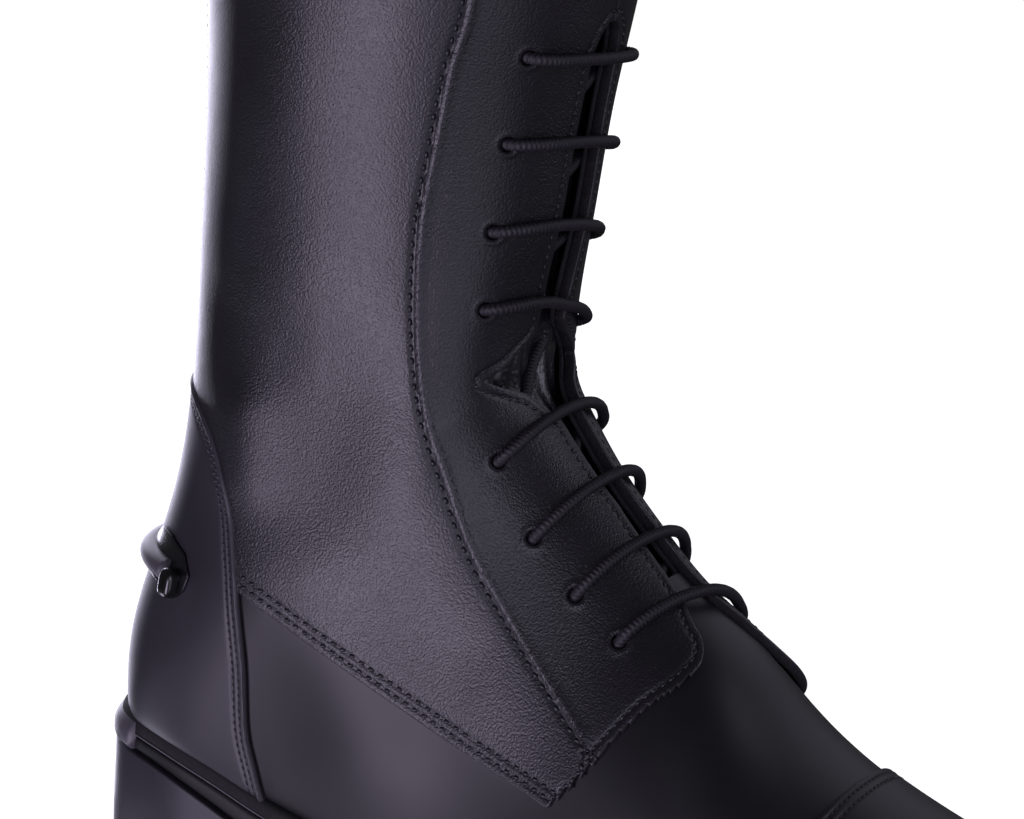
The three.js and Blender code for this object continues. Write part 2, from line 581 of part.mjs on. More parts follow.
// A plate between two outlines: one for its top and one for its underside, each with its height along x
function plate(top, topZ, under, underZ) {
  const raised = (outline, height) => outline.map((pair) =>
    pair.map((p) => new THREE.Vector3(p.x, p.y, height(p.x))));
  const upper = raised(top, topZ);
  const lower = raised(under, underZ);
  const corners = [];
  const quad = (a, b, c, d) => corners.push(a, b, c, a, c, d);
  for (let i = 1; i < upper.length; i++) {
    const [[a, b], [c, d]] = [upper[i - 1], upper[i]];
    const [[e, f], [g, h]] = [lower[i - 1], lower[i]];
    quad(a, b, d, c);
    quad(e, g, h, f);
    quad(a, c, g, e);
    quad(b, f, h, d);
  }
  return solidOf(new THREE.BufferGeometry().setFromPoints(corners));
}

const outsoleTop = (x) => featherZ(x) - GAP - WELT_THICKNESS - GAP;
const outsoleUnder = (x) =>
  outsoleTop(x) - SEAT_OUTSOLE - (OUTSOLE_THICKNESS - SEAT_OUTSOLE) * passed(SEAT_SLOPE, x);

function makeWelt() {
  const outline = soleOutline(WELT_REACH, WELT_TOE_REACH, LEDGE_REACH);
  return plate(outline, (x) => featherZ(x) - GAP, outline, (x) => featherZ(x) - GAP - WELT_THICKNESS);
}

function makeInsole() {
  const inset = -WALL - 5 * GAP;
  const outline = soleOutline(inset, inset, 0);
  return plate(outline, (x) => featherZ(x) + INSOLE_THICKNESS, outline, (x) => featherZ(x));
}

function makeOutsole() {
  const outline = soleOutline(WELT_REACH, WELT_TOE_REACH, LEDGE_REACH);
  return plate(outline, outsoleTop, outline, outsoleUnder);
}

// The heel stands under the back of the outsole, cut off at its breast
function makeHeelPiece(topShare, bottomShare, topZ, bottomZ) {
  const at = (share) => soleOutline(WELT_REACH - HEEL_TAPER * (1 - share), WELT_TOE_REACH, LEDGE_REACH);
  const above = SEAT_FEATHER + SEAT_RISE;
  const breast = prism([[-FAR, -FAR], [HEEL_LENGTH, -FAR], [HEEL_LENGTH, 0],
    [HEEL_LENGTH + BREAST_LEAN * above, above], [-FAR, above]]);
  return mainBody(plate(at(topShare), topZ, at(bottomShare), bottomZ).intersect(breast));
}
const topPieceShare = TOP_PIECE_HEIGHT / HEEL_HEIGHT;
const makeHeelBlock = () =>
  makeHeelPiece(1, topPieceShare, (x) => outsoleUnder(x) - GAP, () => TOP_PIECE_HEIGHT + GAP);
const makeTopPiece = () => makeHeelPiece(topPieceShare, 0, () => TOP_PIECE_HEIGHT, () => 0);

// The assembly
const BLACK = 0x1b191d;
const LOOKS = {
  upper: [makeUpper, BLACK, 0.45], toe_cap: [makeToeCap, BLACK, 0.35],
  heel_counter: [makeCounter, BLACK, 0.35], tongue: [makeTongue, BLACK, 0.5],
  insole: [makeInsole, 0x2b2728, 0.8], welt: [makeWelt, 0x141316, 0.5],
  outsole: [makeOutsole, 0x161518, 0.7], heel_block: [makeHeelBlock, 0x1a191c, 0.5],
  heel_top_piece: [makeTopPiece, 0x121214, 0.8], lace: [makeLace, 0x17161a, 0.85],
  back_zip: [makeZip, 0x18171b, 0.7], back_tab: [makeBackTab, BLACK, 0.5],
  spur_rest: [makeSpurRest, 0x2a282e, 0.3],
};
const boot = new THREE.Group();
for (const [name, [make, color, roughness]] of Object.entries(LOOKS)) {
  const material = new THREE.MeshStandardMaterial({ color, roughness, metalness: 0 });
  const mesh = new THREE.Mesh(geometryOf(make()), material);
  mesh.name = name;
  boot.add(mesh);
}
const heelBack = soleX(CORNER_KNOT) - WELT_REACH - LEDGE_REACH + HEEL_TAPER;
boot.position.x = -(HEEL_LENGTH + heelBack) / 2;

export default boot;
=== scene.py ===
"""A tall lace-up riding boot for the right foot, in black leather, on a white floor.

The upper is one smooth surface worked out from sections of the foot and the shaft. Each leather panel is a
closed sheet that follows this surface between two distances from it, cut along the maker's own outlines.
Shapes are in millimetres, with x from the heel's back edge, and are turned to metres when a mesh is made.
"""

import bpy
import numpy as np
from mathutils import Matrix, Vector


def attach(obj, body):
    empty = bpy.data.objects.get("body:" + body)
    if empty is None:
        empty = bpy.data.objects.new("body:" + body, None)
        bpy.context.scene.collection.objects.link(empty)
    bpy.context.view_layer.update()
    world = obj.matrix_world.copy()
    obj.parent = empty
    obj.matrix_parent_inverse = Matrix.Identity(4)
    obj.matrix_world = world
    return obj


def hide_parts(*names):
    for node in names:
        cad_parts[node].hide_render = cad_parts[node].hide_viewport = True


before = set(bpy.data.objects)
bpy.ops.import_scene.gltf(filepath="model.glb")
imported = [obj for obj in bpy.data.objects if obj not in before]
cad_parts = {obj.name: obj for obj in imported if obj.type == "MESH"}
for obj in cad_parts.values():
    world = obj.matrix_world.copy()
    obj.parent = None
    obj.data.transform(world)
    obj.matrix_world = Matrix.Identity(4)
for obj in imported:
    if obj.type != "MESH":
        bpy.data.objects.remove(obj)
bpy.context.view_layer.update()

MM = 0.001
BODY = "root"

# Driving sizes in millimetres, the same as the solids have
FOOT_LENGTH = 270
BALL_WIDTH = 96
INSTEP_HEIGHT = 123
SHAFT_HEIGHT = 480
SHAFT_DEPTH = 126
SHAFT_WIDTH = 107
HEEL_HEIGHT = 25
SEAT_RISE = 8.5
TOP_PIECE_HEIGHT = 6
HEEL_LENGTH = 62
HEEL_TAPER = 1.2
OUTSOLE_THICKNESS = 6
SEAT_OUTSOLE = 3.8
WELT_THICKNESS = 4.4
WELT_REACH = 3.2
WELT_TOE_REACH = 5.5
LEDGE_REACH = 2.2
TOE_SPRING = 9
WALL = 2
QUARTER_LAYER = 1.3
FACING_LAYER = 2.0
CAP_LAYER = 1.4
COUNTER_LAYER = 1.6
LACE_DIAMETER = 3
EYELET_DIAMETER = 4.2
EYELET_OFFSET = 24
ZIP_WIDTH = 20
SPUR_REST_HEIGHT = 6.6
SPUR_REST_REACH = 3
GAP = 0.3
TREAD_FEATHER = OUTSOLE_THICKNESS + WELT_THICKNESS + 2 * GAP
SEAT_FEATHER = TREAD_FEATHER + HEEL_HEIGHT
FAR = 2 * FOOT_LENGTH
SIDES = (-1, 1)  # the outer side lies at negative y, the inner side at positive y

# Where the sole line bends, as shares of FOOT_LENGTH: the ledge at the back fades out, the raised seat falls
# to its front, the seat falls to the tread, and the toe begins to rise
LEDGE_END = (0, 0.07)
SEAT_SLOPE = (0.07, 0.24)
ARCH_SLOPE = (0.16, 0.6)
SPRING_START = 0.72

# Sections of the foot, from the toe round the ankle bend. Columns: front x, front z, middle x, middle z,
# back x, back z, outer and inner half width, the same two at the end of the section, front power, back
# power, shift to the inner side. x is a share of FOOT_LENGTH, z of INSTEP_HEIGHT, y of BALL_WIDTH.
FOOT = np.array([
    [1.0, 0.0, 1.0, 0.0, 1.0, 0, 0.0, 0.0, 0.0, 0.0, 2.0, 2.2, 0.094],
    [0.985, 0.162, 0.985, 0.056, 0.985, 0, 0.177, 0.156, 0.167, 0.151, 2.0, 2.2, 0.09],
    [0.948, 0.276, 0.948, 0.106, 0.948, 0, 0.312, 0.271, 0.292, 0.255, 2.05, 2.2, 0.079],
    [0.881, 0.362, 0.881, 0.138, 0.881, 0, 0.432, 0.39, 0.396, 0.354, 2.1, 2.2, 0.058],
    [0.785, 0.47, 0.781, 0.159, 0.778, 0, 0.505, 0.464, 0.469, 0.443, 2.1, 2.2, 0.029],
    [0.713, 0.581, 0.689, 0.179, 0.678, 0, 0.52, 0.48, 0.474, 0.438, 2.15, 2.2, 0.008],
    [0.657, 0.694, 0.604, 0.218, 0.581, 0, 0.484, 0.443, 0.427, 0.375, 2.2, 2.2, 0],
    [0.6, 0.736, 0.522, 0.26, 0.474, 0, 0.427, 0.396, 0.38, 0.318, 2.2, 2.2, 0],
    [0.543, 0.763, 0.444, 0.296, 0.356, 0, 0.39, 0.37, 0.354, 0.312, 2.2, 2.3, 0],
    [0.487, 0.81, 0.37, 0.372, 0.23, 0, 0.375, 0.365, 0.344, 0.333, 2.2, 2.4, 0],
    [0.444, 0.906, 0.318, 0.496, 0.104, 0, 0.38, 0.375, 0.335, 0.33, 2.2, 2.4, 0],
    [0.417, 1.008, 0.281, 0.618, 0.008, 0, 0.396, 0.391, 0.335, 0.33, 2.2, 2.3, 0],
    [0.418, 1.126, 0.259, 0.764, 0.003, 0.195, 0.396, 0.391, 0.365, 0.36, 2.2, 2.2, 0],
    [0.43, 1.3, 0.244, 1.008, 0.0385, 0.561, 0.391, 0.385, 0.391, 0.385, 2.2, 2.2, 0],
    [0.439, 1.537, 0.241, 1.374, 0.046, 1.05, 0.411, 0.411, 0.411, 0.411, 2.2, 2.1, 0],
])
HEEL_CORNER = 11
ANKLE_TOP = 1.537
SHAFT_MIDDLE = 0.245
# Sections of the shaft. Columns: front x, front z, middle x, middle z, back x, back z, half width, power.
# x is a share of SHAFT_DEPTH, z of the height from the ankle to the collar, y of SHAFT_WIDTH.
SHAFT = np.array([
    [0.451, 0.145, 0, 0.118, -0.467, 0.059, 0.421, 2.15],
    [0.482, 0.372, 0, 0.365, -0.532, 0.341, 0.477, 2.1],
    [0.498, 0.608, 0, 0.608, -0.545, 0.6, 0.505, 2.1],
    [0.498, 0.843, 0, 0.843, -0.525, 0.843, 0.5, 2.1],
    [0.49, 1.0, 0, 1.0, -0.505, 1.0, 0.486, 2.1],
])
# How the sides close to the back edge. Columns: depth as a share of SHAFT_DEPTH, power, exponent
BACK_ROUNDING = np.array([
    [0.28, 2.2, 0.455], [0.35, 2.2, 0.46], [0.44, 2.2, 0.47], [0.44, 2.1, 0.56], [0.45, 2.0, 0.72],
    [0.51, 2.0, 0.68], [0.53, 2.0, 0.64], [0.515, 2.0, 0.6], [0.505, 2.0, 0.58],
])

# Outlines seen from the side: x as a share of FOOT_LENGTH, z of INSTEP_HEIGHT above the seat
FACING_SEAM = [
    [0.4, 3.7], [0.395, 2.6], [0.385, 2.05], [0.372, 1.77], [0.357, 1.63], [0.345, 1.455], [0.337, 1.295],
    [0.34, 1.11], [0.355, 0.93], [0.38, 0.795], [0.413, 0.65], [0.454, 0.538], [0.506, 0.42], [0.56, 0.317],
]
FLAP_END = [[0.585, 0.291], [0.614, 0.394], [0.634, 0.441], [0.644, 0.488], [0.655, 0.585]]
# The inner flap reaches further forward than the outer one, and its seam runs on to it
INNER_FLAP_END = [[0.6, 0.19], [0.637, 0.232], [0.664, 0.3], [0.684, 0.346], [0.694, 0.392], [0.705, 0.5]]
INNER_SEAM_END = [[0.584, 0.262], [0.599, 0.2]]
WING_SEAM = [[0.544, 0.172], [0.451, 0.227], [0.37, 0.288], [0.277, 0.367], [0.184, 0.447], [0.1, 0.5]]
COUNTER_EDGE = [
    [0.25, -0.3], [0.236, -0.1], [0.215, 0.05], [0.202, 0.143], [0.196, 0.3], [0.185, 0.444],
    [0.175, 0.537], [0.16, 0.655], [0.128, 0.758], [0.072, 0.83], [0.0, 0.87],
]
CAP_EDGE = [[0.802, 0.36], [0.779, 0.231], [0.763, 0.114], [0.752, -0.05], [0.745, -0.3]]
# The notch at the ankle bend, from its hind point up and round its open front
NOTCH = [
    [0.4, 0.983], [0.4085, 1.008], [0.4135, 1.055], [0.416, 1.1],
    [0.43, 1.11], [0.474, 1.057], [0.441, 0.905], [0.421, 0.95],
]
SPUR_REST_END = [0.105, 0.44]
BACK_TAB = [0.05, 0.26]

# The throat up the front edge: it opens wide at its lower end on each side, and the slot above is the same on
# both. Columns: section number, half width as a share of BALL_WIDTH.
OUTER_THROAT = [[6.2, 0.13], [6.6, 0.11], [7.0, 0.07]]
INNER_THROAT = [[5.2, 0.34], [5.7, 0.21], [6.2, 0.125], [6.6, 0.09], [7.0, 0.065]]
SLOT = [
    [7.4, 0.055], [8.5, 0.042], [10.5, 0.062], [12.5, 0.073], [14.0, 0.066], [14.45, 0.064], [14.6, 0.045],
    [14.68, 0.015],
]
THROAT = {-1: np.array(OUTER_THROAT + SLOT), 1: np.array(INNER_THROAT + SLOT)}
THROAT_TOP = 14.68
LINING_OPENS = 7.4
# Section numbers of the eyelets, from the lowest bar up, on the outer and the inner side
LACE_SECTIONS = {
    -1: np.array([7.25, 8.05, 8.87, 10.0, 12.27, 13.17, 13.85, 14.46]),
    1: np.array([6.63, 7.78, 8.77, 9.93, 11.8, 12.9, 13.7, 14.4]),
}
TONGUE_SECTIONS = [6.3, 14.78]


# The upper's surface

def spline(knots, values):
    """A natural cubic spline: the bends at the knots solve a three-banded system."""
    knots = np.asarray(knots, float)
    values = np.asarray(values, float)
    gaps = np.diff(knots)
    slopes = np.diff(values) / gaps
    system = np.eye(len(knots))
    right = np.zeros(len(knots))
    for i in range(1, len(knots) - 1):
        system[i, i - 1:i + 2] = gaps[i - 1], 2 * (gaps[i - 1] + gaps[i]), gaps[i]
        right[i] = 6 * (slopes[i] - slopes[i - 1])
    bend = np.linalg.solve(system, right)

    def at(u):
        i = np.clip(np.searchsorted(knots, u) - 1, 0, len(knots) - 2)
        h = gaps[i]
        a = (knots[i + 1] - u) / h
        b = 1 - a
        curve = ((a ** 3 - a) * bend[i] + (b ** 3 - b) * bend[i + 1]) * h * h / 6
        return a * values[i] + b * values[i + 1] + curve
    return at


def smooth_step(t):
    """Rises from 0 to 1 with level ends: 3t squared less 2t cubed."""
    c = np.clip(t, 0, 1)
    return c * c * (3 - 2 * c)


def passed(slope, x):
    """How far a slope between two shares of FOOT_LENGTH has been passed at x."""
    start, end = slope
    return smooth_step((np.asarray(x) / FOOT_LENGTH - start) / (end - start))


def level_z(x):
    """Height of the foot's level: down from the seat to the tread, and up again at the toe by the spring."""
    spring = np.maximum((np.asarray(x) / FOOT_LENGTH - SPRING_START) / (1 - SPRING_START), 0) ** 2
    return SEAT_FEATHER + (TREAD_FEATHER - SEAT_FEATHER) * passed(ARCH_SLOPE, x) + TOE_SPRING * spring


def feather_z(x):
    """Height of the sole line: the foot's level, raised at the back of the heel seat."""
    return level_z(x) + SEAT_RISE * (1 - passed(SEAT_SLOPE, x))


def section_rows():
    """The two section tables in millimetres, with the columns of FOOT."""
    foot = FOOT.copy()
    foot[:, 0:6:2] *= FOOT_LENGTH
    foot[:, 1:6:2] = level_z(foot[:, 4])[:, None] + foot[:, 1:6:2] * INSTEP_HEIGHT
    foot[:HEEL_CORNER + 1, 5] = feather_z(foot[:HEEL_CORNER + 1, 4])
    foot[:, 6:10] *= BALL_WIDTH
    foot[:, 12] *= BALL_WIDTH
    ankle = SEAT_FEATHER + ANKLE_TOP * INSTEP_HEIGHT
    shaft = np.zeros((len(SHAFT), foot.shape[1]))
    shaft[:, 0:6:2] = SHAFT_MIDDLE * FOOT_LENGTH + SHAFT[:, 0:6:2] * SHAFT_DEPTH
    shaft[:, 1:6:2] = ankle + SHAFT[:, 1:6:2] * (SHAFT_HEIGHT - ankle)
    shaft[:, 6:10] = SHAFT[:, 6:7] * SHAFT_WIDTH
    shaft[:, 10:12] = SHAFT[:, 7:8]
    return np.vstack([foot, shaft])


ROWS = section_rows()
STEPS = np.sqrt((np.diff(ROWS[:, :6], axis=0) ** 2).sum(axis=1) / 3)
KNOTS = np.concatenate([[0], np.cumsum(STEPS)])
LAST = KNOTS[-1]
CORNER = KNOTS[HEEL_CORNER]
front_x, front_z, middle_x, middle_z = [spline(KNOTS, ROWS[:, c]) for c in range(4)]
front_power, back_power, shift_y = [spline(KNOTS, ROWS[:, c]) for c in (10, 11, 12)]
half_squares = [spline(KNOTS, ROWS[:, c] ** 2) for c in (6, 7)]
end_squares = [spline(KNOTS, ROWS[:, c] ** 2) for c in (8, 9)]
sole_x = spline(KNOTS[:HEEL_CORNER + 1], ROWS[:HEEL_CORNER + 1, 4])
back_z = spline(KNOTS[HEEL_CORNER:], ROWS[HEEL_CORNER:, 5])
BACK_HEIGHTS = ROWS[HEEL_CORNER:, 5]
back_x = spline(BACK_HEIGHTS, ROWS[HEEL_CORNER:, 4])
round_depth, round_power, round_exponent = [spline(BACK_HEIGHTS, BACK_ROUNDING[:, c]) for c in range(3)]


HEEL_BACK = sole_x(CORNER) - WELT_REACH - LEDGE_REACH + HEEL_TAPER
ORIGIN_X = (HEEL_LENGTH + HEEL_BACK) / 2


def knot_of(section):
    """The place along the boot of a section number, with parts of a row between the rows."""
    return np.interp(section, np.arange(len(KNOTS)), KNOTS)


def side_view(u, s):
    """x and z of a point: the quadratic path from the front through the middle to the back of a section."""
    on_sole = u < CORNER
    sole = sole_x(np.minimum(u, CORNER))
    edge = back_z(np.maximum(u, CORNER))
    bx = np.where(on_sole, sole, back_x(edge))
    bz = np.where(on_sole, feather_z(sole), edge)
    front, middle, back = (1 - s) * (2 - s) / 2, s * (2 - s), s * (s - 1) / 2
    x = front * front_x(u) + middle * middle_x(u) + back * bx
    z = front * front_z(u) + middle * middle_z(u) + back * bz
    return x, z


def back_closing(x, z):
    """How far the sides have parted at a point of the side view: 0 on the back edge, 1 away from it."""
    level = np.maximum(z, BACK_HEIGHTS[0])
    share = (x - back_x(level)) / (round_depth(level) * SHAFT_DEPTH)
    rest = 1 - np.clip(share, 0, 1)
    return (1 - rest ** round_power(level)) ** round_exponent(level)


def surface_at(u, s, side):
    """A point of the upper: superellipse halves across each section, closed in to the back edge."""
    x, z = side_view(u, s)
    outer = side < 0
    half = np.sqrt(np.maximum(np.where(outer, half_squares[0](u), half_squares[1](u)), 0))
    end = np.sqrt(np.maximum(np.where(outer, end_squares[0](u), end_squares[1](u)), 0))
    power = np.where(s < 1, front_power(u), back_power(u))
    share = np.maximum(1 - np.abs(1 - s) ** power, 0) ** (1 / power)
    reach = np.where(s < 1, half * share, (end + (half - end) * share) * back_closing(x, z))
    return np.stack([x, shift_y(u) + side * reach, z], axis=-1)


def turn_of(s):
    """The turn round the section, evenly spread at the front and back, from the share s of its path."""
    front = np.arccos(np.clip(1 - s, -1, 1))
    back = np.pi - np.arccos(np.clip(s - 1, -1, 1))
    return np.where(s < 1, front, back) * 2 / np.pi


def surface(u, w):
    """A point by place u along the boot and turn w: 0 at the front, -2 and 2 at the back of the two sides."""
    u, w = np.broadcast_arrays(np.asarray(u, float), np.asarray(w, float))
    around = np.where(u >= CORNER, w - 4 * np.sign(w), np.clip(w, -2, 2))
    w = np.where(np.abs(w) > 2, around, w)
    t = np.abs(w)
    s = np.where(t < 1, 1 - np.cos(np.pi / 2 * t), 1 + np.cos(np.pi / 2 * (2 - t)))
    return surface_at(u, s, np.where(w < 0, -1.0, 1.0))


def slopes(u, w, small=0.004):
    """The surface's two directions at a point, along the boot and round it, from nearby points."""
    u = np.clip(u, 0.5, LAST - 0.1)
    along = (surface(u + 0.1, w) - surface(u - 0.1, w)) / 0.2
    across = (surface(u, w + small) - surface(u, w - small)) / (2 * small)
    return along, across


def unit(v):
    """Vectors cut to length 1."""
    return v / np.maximum(np.linalg.norm(v, axis=-1, keepdims=True), 1e-9)


def off_surface(u, w):
    """The direction straight off the surface: the cross product of its two directions."""
    along, across = slopes(u, w)
    return unit(np.cross(across, along))


def at_breadth(section, y):
    """Place and turn of the front's point at a distance y from the middle of a section."""
    u = knot_of(section)
    half = np.sqrt(np.where(np.asarray(y) < 0, half_squares[0](u), half_squares[1](u)))
    power = front_power(u)
    s = 1 - (1 - (np.abs(y) / half) ** power) ** (1 / power)
    return u, turn_of(s) * np.sign(y)


# Soft troughs and ridges of the leather, seen from the side. Columns: x and z of two ends as the outlines
# have them, half width and height in millimetres, where a trough's height is below zero.
CREASES = np.array([
    [0.28, 0.9, 0.272, 0.68, 25, -3.2],
    [0.165, 0.82, 0.172, 0.7, 10, 2.0],
    [0.262, 0.5, 0.33, 0.18, 18, 1.8],
    [0.12, 1.05, 0.2, 0.98, 9, -0.5],
    [0.14, 1.28, 0.32, 1.22, 12, -0.4],
    [0.24, 0.5, 0.42, 0.42, 11, -0.5],
])


def relief(points):
    """Height of the creases at each point: a bell across each line, fading out past its ends."""
    total = np.zeros(len(points))
    side = points[:, [0, 2]]
    for x0, z0, x1, z1, width, height in CREASES:
        start, end = placed([[x0, z0], [x1, z1]])
        run = end - start
        share = (side - start) @ run / (run @ run)
        gap = np.linalg.norm(side - start - np.clip(share, 0, 1)[:, None] * run, axis=1)
        total += height * np.exp(-(gap / width) ** 2)
    return total


# Outlines and distances

def placed(outline):
    """An outline's shares as millimetres in the side view."""
    return np.array(outline) * [FOOT_LENGTH, INSTEP_HEIGHT] + [0, SEAT_FEATHER]


def curved(outline, steps):
    """A smooth line through an outline's points: a Hermite curve with the neighbours' slope at each point."""
    points = placed(outline)
    padded = np.vstack([points[:1], points, points[-1:]])
    tangents = (padded[2:] - padded[:-2]) / 2
    place = np.linspace(0, len(points) - 1, steps + 1)
    i = np.minimum(place.astype(int), len(points) - 2)
    t = (place - i)[:, None]
    a, b, ta, tb = points[i], points[i + 1], tangents[i], tangents[i + 1]
    return ((2 * t ** 3 - 3 * t ** 2 + 1) * a + (t ** 3 - 2 * t ** 2 + t) * ta
            + (3 * t ** 2 - 2 * t ** 3) * b + (t ** 3 - t ** 2) * tb)


def inside(points, outline):
    """Which points of the side view lie inside an outline: an odd count of its edges lies above them."""
    x, z = points[:, 0], points[:, 2]
    odd = np.zeros(len(points), bool)
    for (ax, az), (bx, bz) in zip(outline, np.roll(outline, -1, axis=0)):
        if ax != bx:
            spans = (ax > x) != (bx > x)
            odd ^= spans & (z < az + (bz - az) * (x - ax) / (bx - ax))
    return odd


# Distances that are only needed near a line stop at this many millimetres
NEAR = 16


def distance(points, line, reach=NEAR):
    """Shortest distance from each point to a line in space, up to a reach."""
    best = np.full(len(points), float(reach))
    start, run = line[:-1], np.diff(line, axis=0)
    low, high = line.min(axis=0) - reach, line.max(axis=0) + reach
    near = np.flatnonzero(((points > low) & (points < high)).all(axis=1))
    length = np.maximum((run ** 2).sum(axis=1), 1e-9)
    for part in np.array_split(near, max(len(near) // 4000, 1)):
        gap = points[part, None] - start
        share = np.clip((gap * run).sum(axis=2) / length, 0, 1)
        apart = np.sqrt(((gap - share[..., None] * run) ** 2).sum(axis=2)).min(axis=1)
        best[part] = np.minimum(apart, reach)
    return best


GUESS_U, GUESS_S = np.meshgrid(np.linspace(0, LAST, 260), np.linspace(0, 2, 70), indexing="ij")
GUESS_X, GUESS_Z = side_view(GUESS_U, GUESS_S)


def find(side_points):
    """Place and path share of points of the side view, by Newton's steps from the nearest of a grid."""
    near = [((GUESS_X - x) ** 2 + (GUESS_Z - z) ** 2).argmin() for x, z in side_points]
    u, s = GUESS_U.ravel()[near], GUESS_S.ravel()[near]
    for _ in range(12):
        x, z = side_view(u, s)
        du, ds = 0.05, 0.0005
        xu, zu = [(b - a) / (2 * du) for a, b in zip(side_view(u - du, s), side_view(u + du, s))]
        xs, zs = [(b - a) / (2 * ds) for a, b in zip(side_view(u, s - ds), side_view(u, s + ds))]
        ex, ez = side_points[:, 0] - x, side_points[:, 1] - z
        turn = xu * zs - xs * zu
        turn = np.where(np.abs(turn) < 1e-6, 1e-6, turn)
        u = np.clip(u + (ex * zs - xs * ez) / turn, 0, LAST)
        s = np.clip(s + (xu * ez - ex * zu) / turn, 0, 2)
    x, z = side_view(u, s)
    good = np.hypot(side_points[:, 0] - x, side_points[:, 1] - z) < 0.5
    return u[good], s[good]


TRACE_STEP = 0.6


def traced(side_points, side):
    """The line in space where a line of the side view lies on one side of the boot."""
    runs = []
    for a, b in zip(side_points[:-1], side_points[1:]):
        runs.append(np.linspace(a, b, max(int(np.hypot(*(b - a)) / TRACE_STEP), 1), endpoint=False))
    u, s = find(np.vstack(runs + [side_points[-1:]]))
    return surface_at(u, s, np.full(len(u), float(side)))


THROAT_STEPS = 260


def throat_line(side, first=0):
    """The throat's edge on one side from a section up, with the arch that closes it at the top."""
    table = THROAT[side]
    sections = np.linspace(max(first, table[0, 0]), THROAT_TOP, THROAT_STEPS)
    half = np.interp(sections, table[:, 0], table[:, 1]) * BALL_WIDTH
    u, w = at_breadth(sections, side * half)
    return surface(u, w)


seam = {-1: curved(FACING_SEAM, 60), 1: curved(FACING_SEAM + INNER_SEAM_END, 68)}
flap_end = {-1: curved(FLAP_END, 16), 1: curved(INNER_FLAP_END, 24)}
wing = {-1: curved(WING_SEAM, 30), 1: curved([INNER_FLAP_END[0]] + WING_SEAM, 36)}
counter_edge = curved(COUNTER_EDGE, 40)
cap_edge = curved(CAP_EDGE, 16)
COUNTER_TOP = counter_edge[-1, 1]
SHAFT_TOP = SHAFT_HEIGHT + INSTEP_HEIGHT
ZIP_FOOT = COUNTER_TOP + 3 * GAP
front_edge = [[FAR, SHAFT_HEIGHT / 2], [FAR, SHAFT_TOP]]
quarter_outline, facing_outline = {}, {}
for side in SIDES:
    quarter_back = [[-FAR, SHAFT_TOP], [-FAR, wing[side][-1, 1]]]
    quarter_outline[side] = np.vstack([quarter_back, wing[side][::-1], flap_end[side], front_edge])
    facing_outline[side] = np.vstack([[seam[side][0, 0], SHAFT_TOP], seam[side], flap_end[side], front_edge])
counter_outline = np.vstack([[-FAR, -FAR], counter_edge, [-FAR, COUNTER_TOP]])
cap_outline = np.vstack([cap_edge[::-1], [cap_edge[0, 0], SHAFT_HEIGHT / 4], [FAR, SHAFT_HEIGHT / 4],
                         [FAR, cap_edge[-1, 1]]])
notch_outline = placed(NOTCH)
SEAM_LINE, WING_LINE, FLAP_LINE = [
    {side: traced(line[side], side) for side in SIDES} for line in (seam, wing, flap_end)]
COUNTER_LINES, CAP_LINES = [[traced(line, side) for side in SIDES] for line in (counter_edge, cap_edge)]
NOTCH_LINE = {side: traced(np.vstack([notch_outline, notch_outline[:1]]), side) for side in SIDES}


def signed(points, lines, outline):
    """Distance to the nearest of some lines in space, above zero inside an outline of the side view."""
    gap = np.min([distance(points, line) for line in lines], axis=0)
    return np.where(inside(points, outline), gap, -gap)


def quarter_gap(points, side):
    """Distance from one quarter's wing seam and flap end, above zero on the quarter."""
    return signed(points, [WING_LINE[side], FLAP_LINE[side]], quarter_outline[side])


def counter_gap(points):
    """Distance from the counter's edge, above zero on the counter."""
    return signed(points, COUNTER_LINES, counter_outline)


def cap_gap(points):
    """Distance from the toe cap's edge, above zero on the cap."""
    return signed(points, CAP_LINES, cap_outline)


def notch_gap(points, sides):
    """Distance from the notch's edge on some sides, below zero in the notch."""
    gap = np.min([distance(points, NOTCH_LINE[side]) for side in sides], axis=0)
    return np.where(inside(points, notch_outline), -gap, gap)


def rounded(a, b, radius):
    """The distance inside both of two edges, with their corner rounded to a radius."""
    reach = np.hypot(np.maximum(radius - a, 0), np.maximum(radius - b, 0))
    return np.maximum(np.minimum(a, b), radius) - reach


def box_distance(y, z, half_y, half_z, radius):
    """The distance inside a rectangle with rounded corners."""
    a, b = np.abs(y) - half_y + radius, np.abs(z) - half_z + radius
    outside = np.hypot(np.maximum(a, 0), np.maximum(b, 0))
    return radius - outside - np.minimum(np.maximum(a, b), 0)


def throat_gap(u, points, side, first=0):
    """Distance from the throat's edge, above zero beside the throat and below zero in it."""
    sections = np.interp(u, KNOTS, np.arange(len(KNOTS)))
    table = THROAT[side]
    half = np.interp(sections, table[:, 0], table[:, 1]) * BALL_WIDTH
    within = (sections > max(first, table[0, 0])) & (sections < THROAT_TOP) & (np.abs(points[:, 1]) < half)
    gap = distance(points, throat_line(side, first))
    return np.where(within, -gap, gap)


EYELETS = {side: surface(*at_breadth(LACE_SECTIONS[side], side * EYELET_OFFSET)) for side in SIDES}


def hole_gap(points, side):
    """Distance from the rim of the nearest eyelet, above zero outside it."""
    apart = [np.linalg.norm(points - centre, axis=1) for centre in EYELETS[side]]
    return np.min(apart, axis=0) - EYELET_DIAMETER / 2


# Sheets: a table with a row for each point, whose first columns are its place u and turn w

MM_PER_TURN = 92


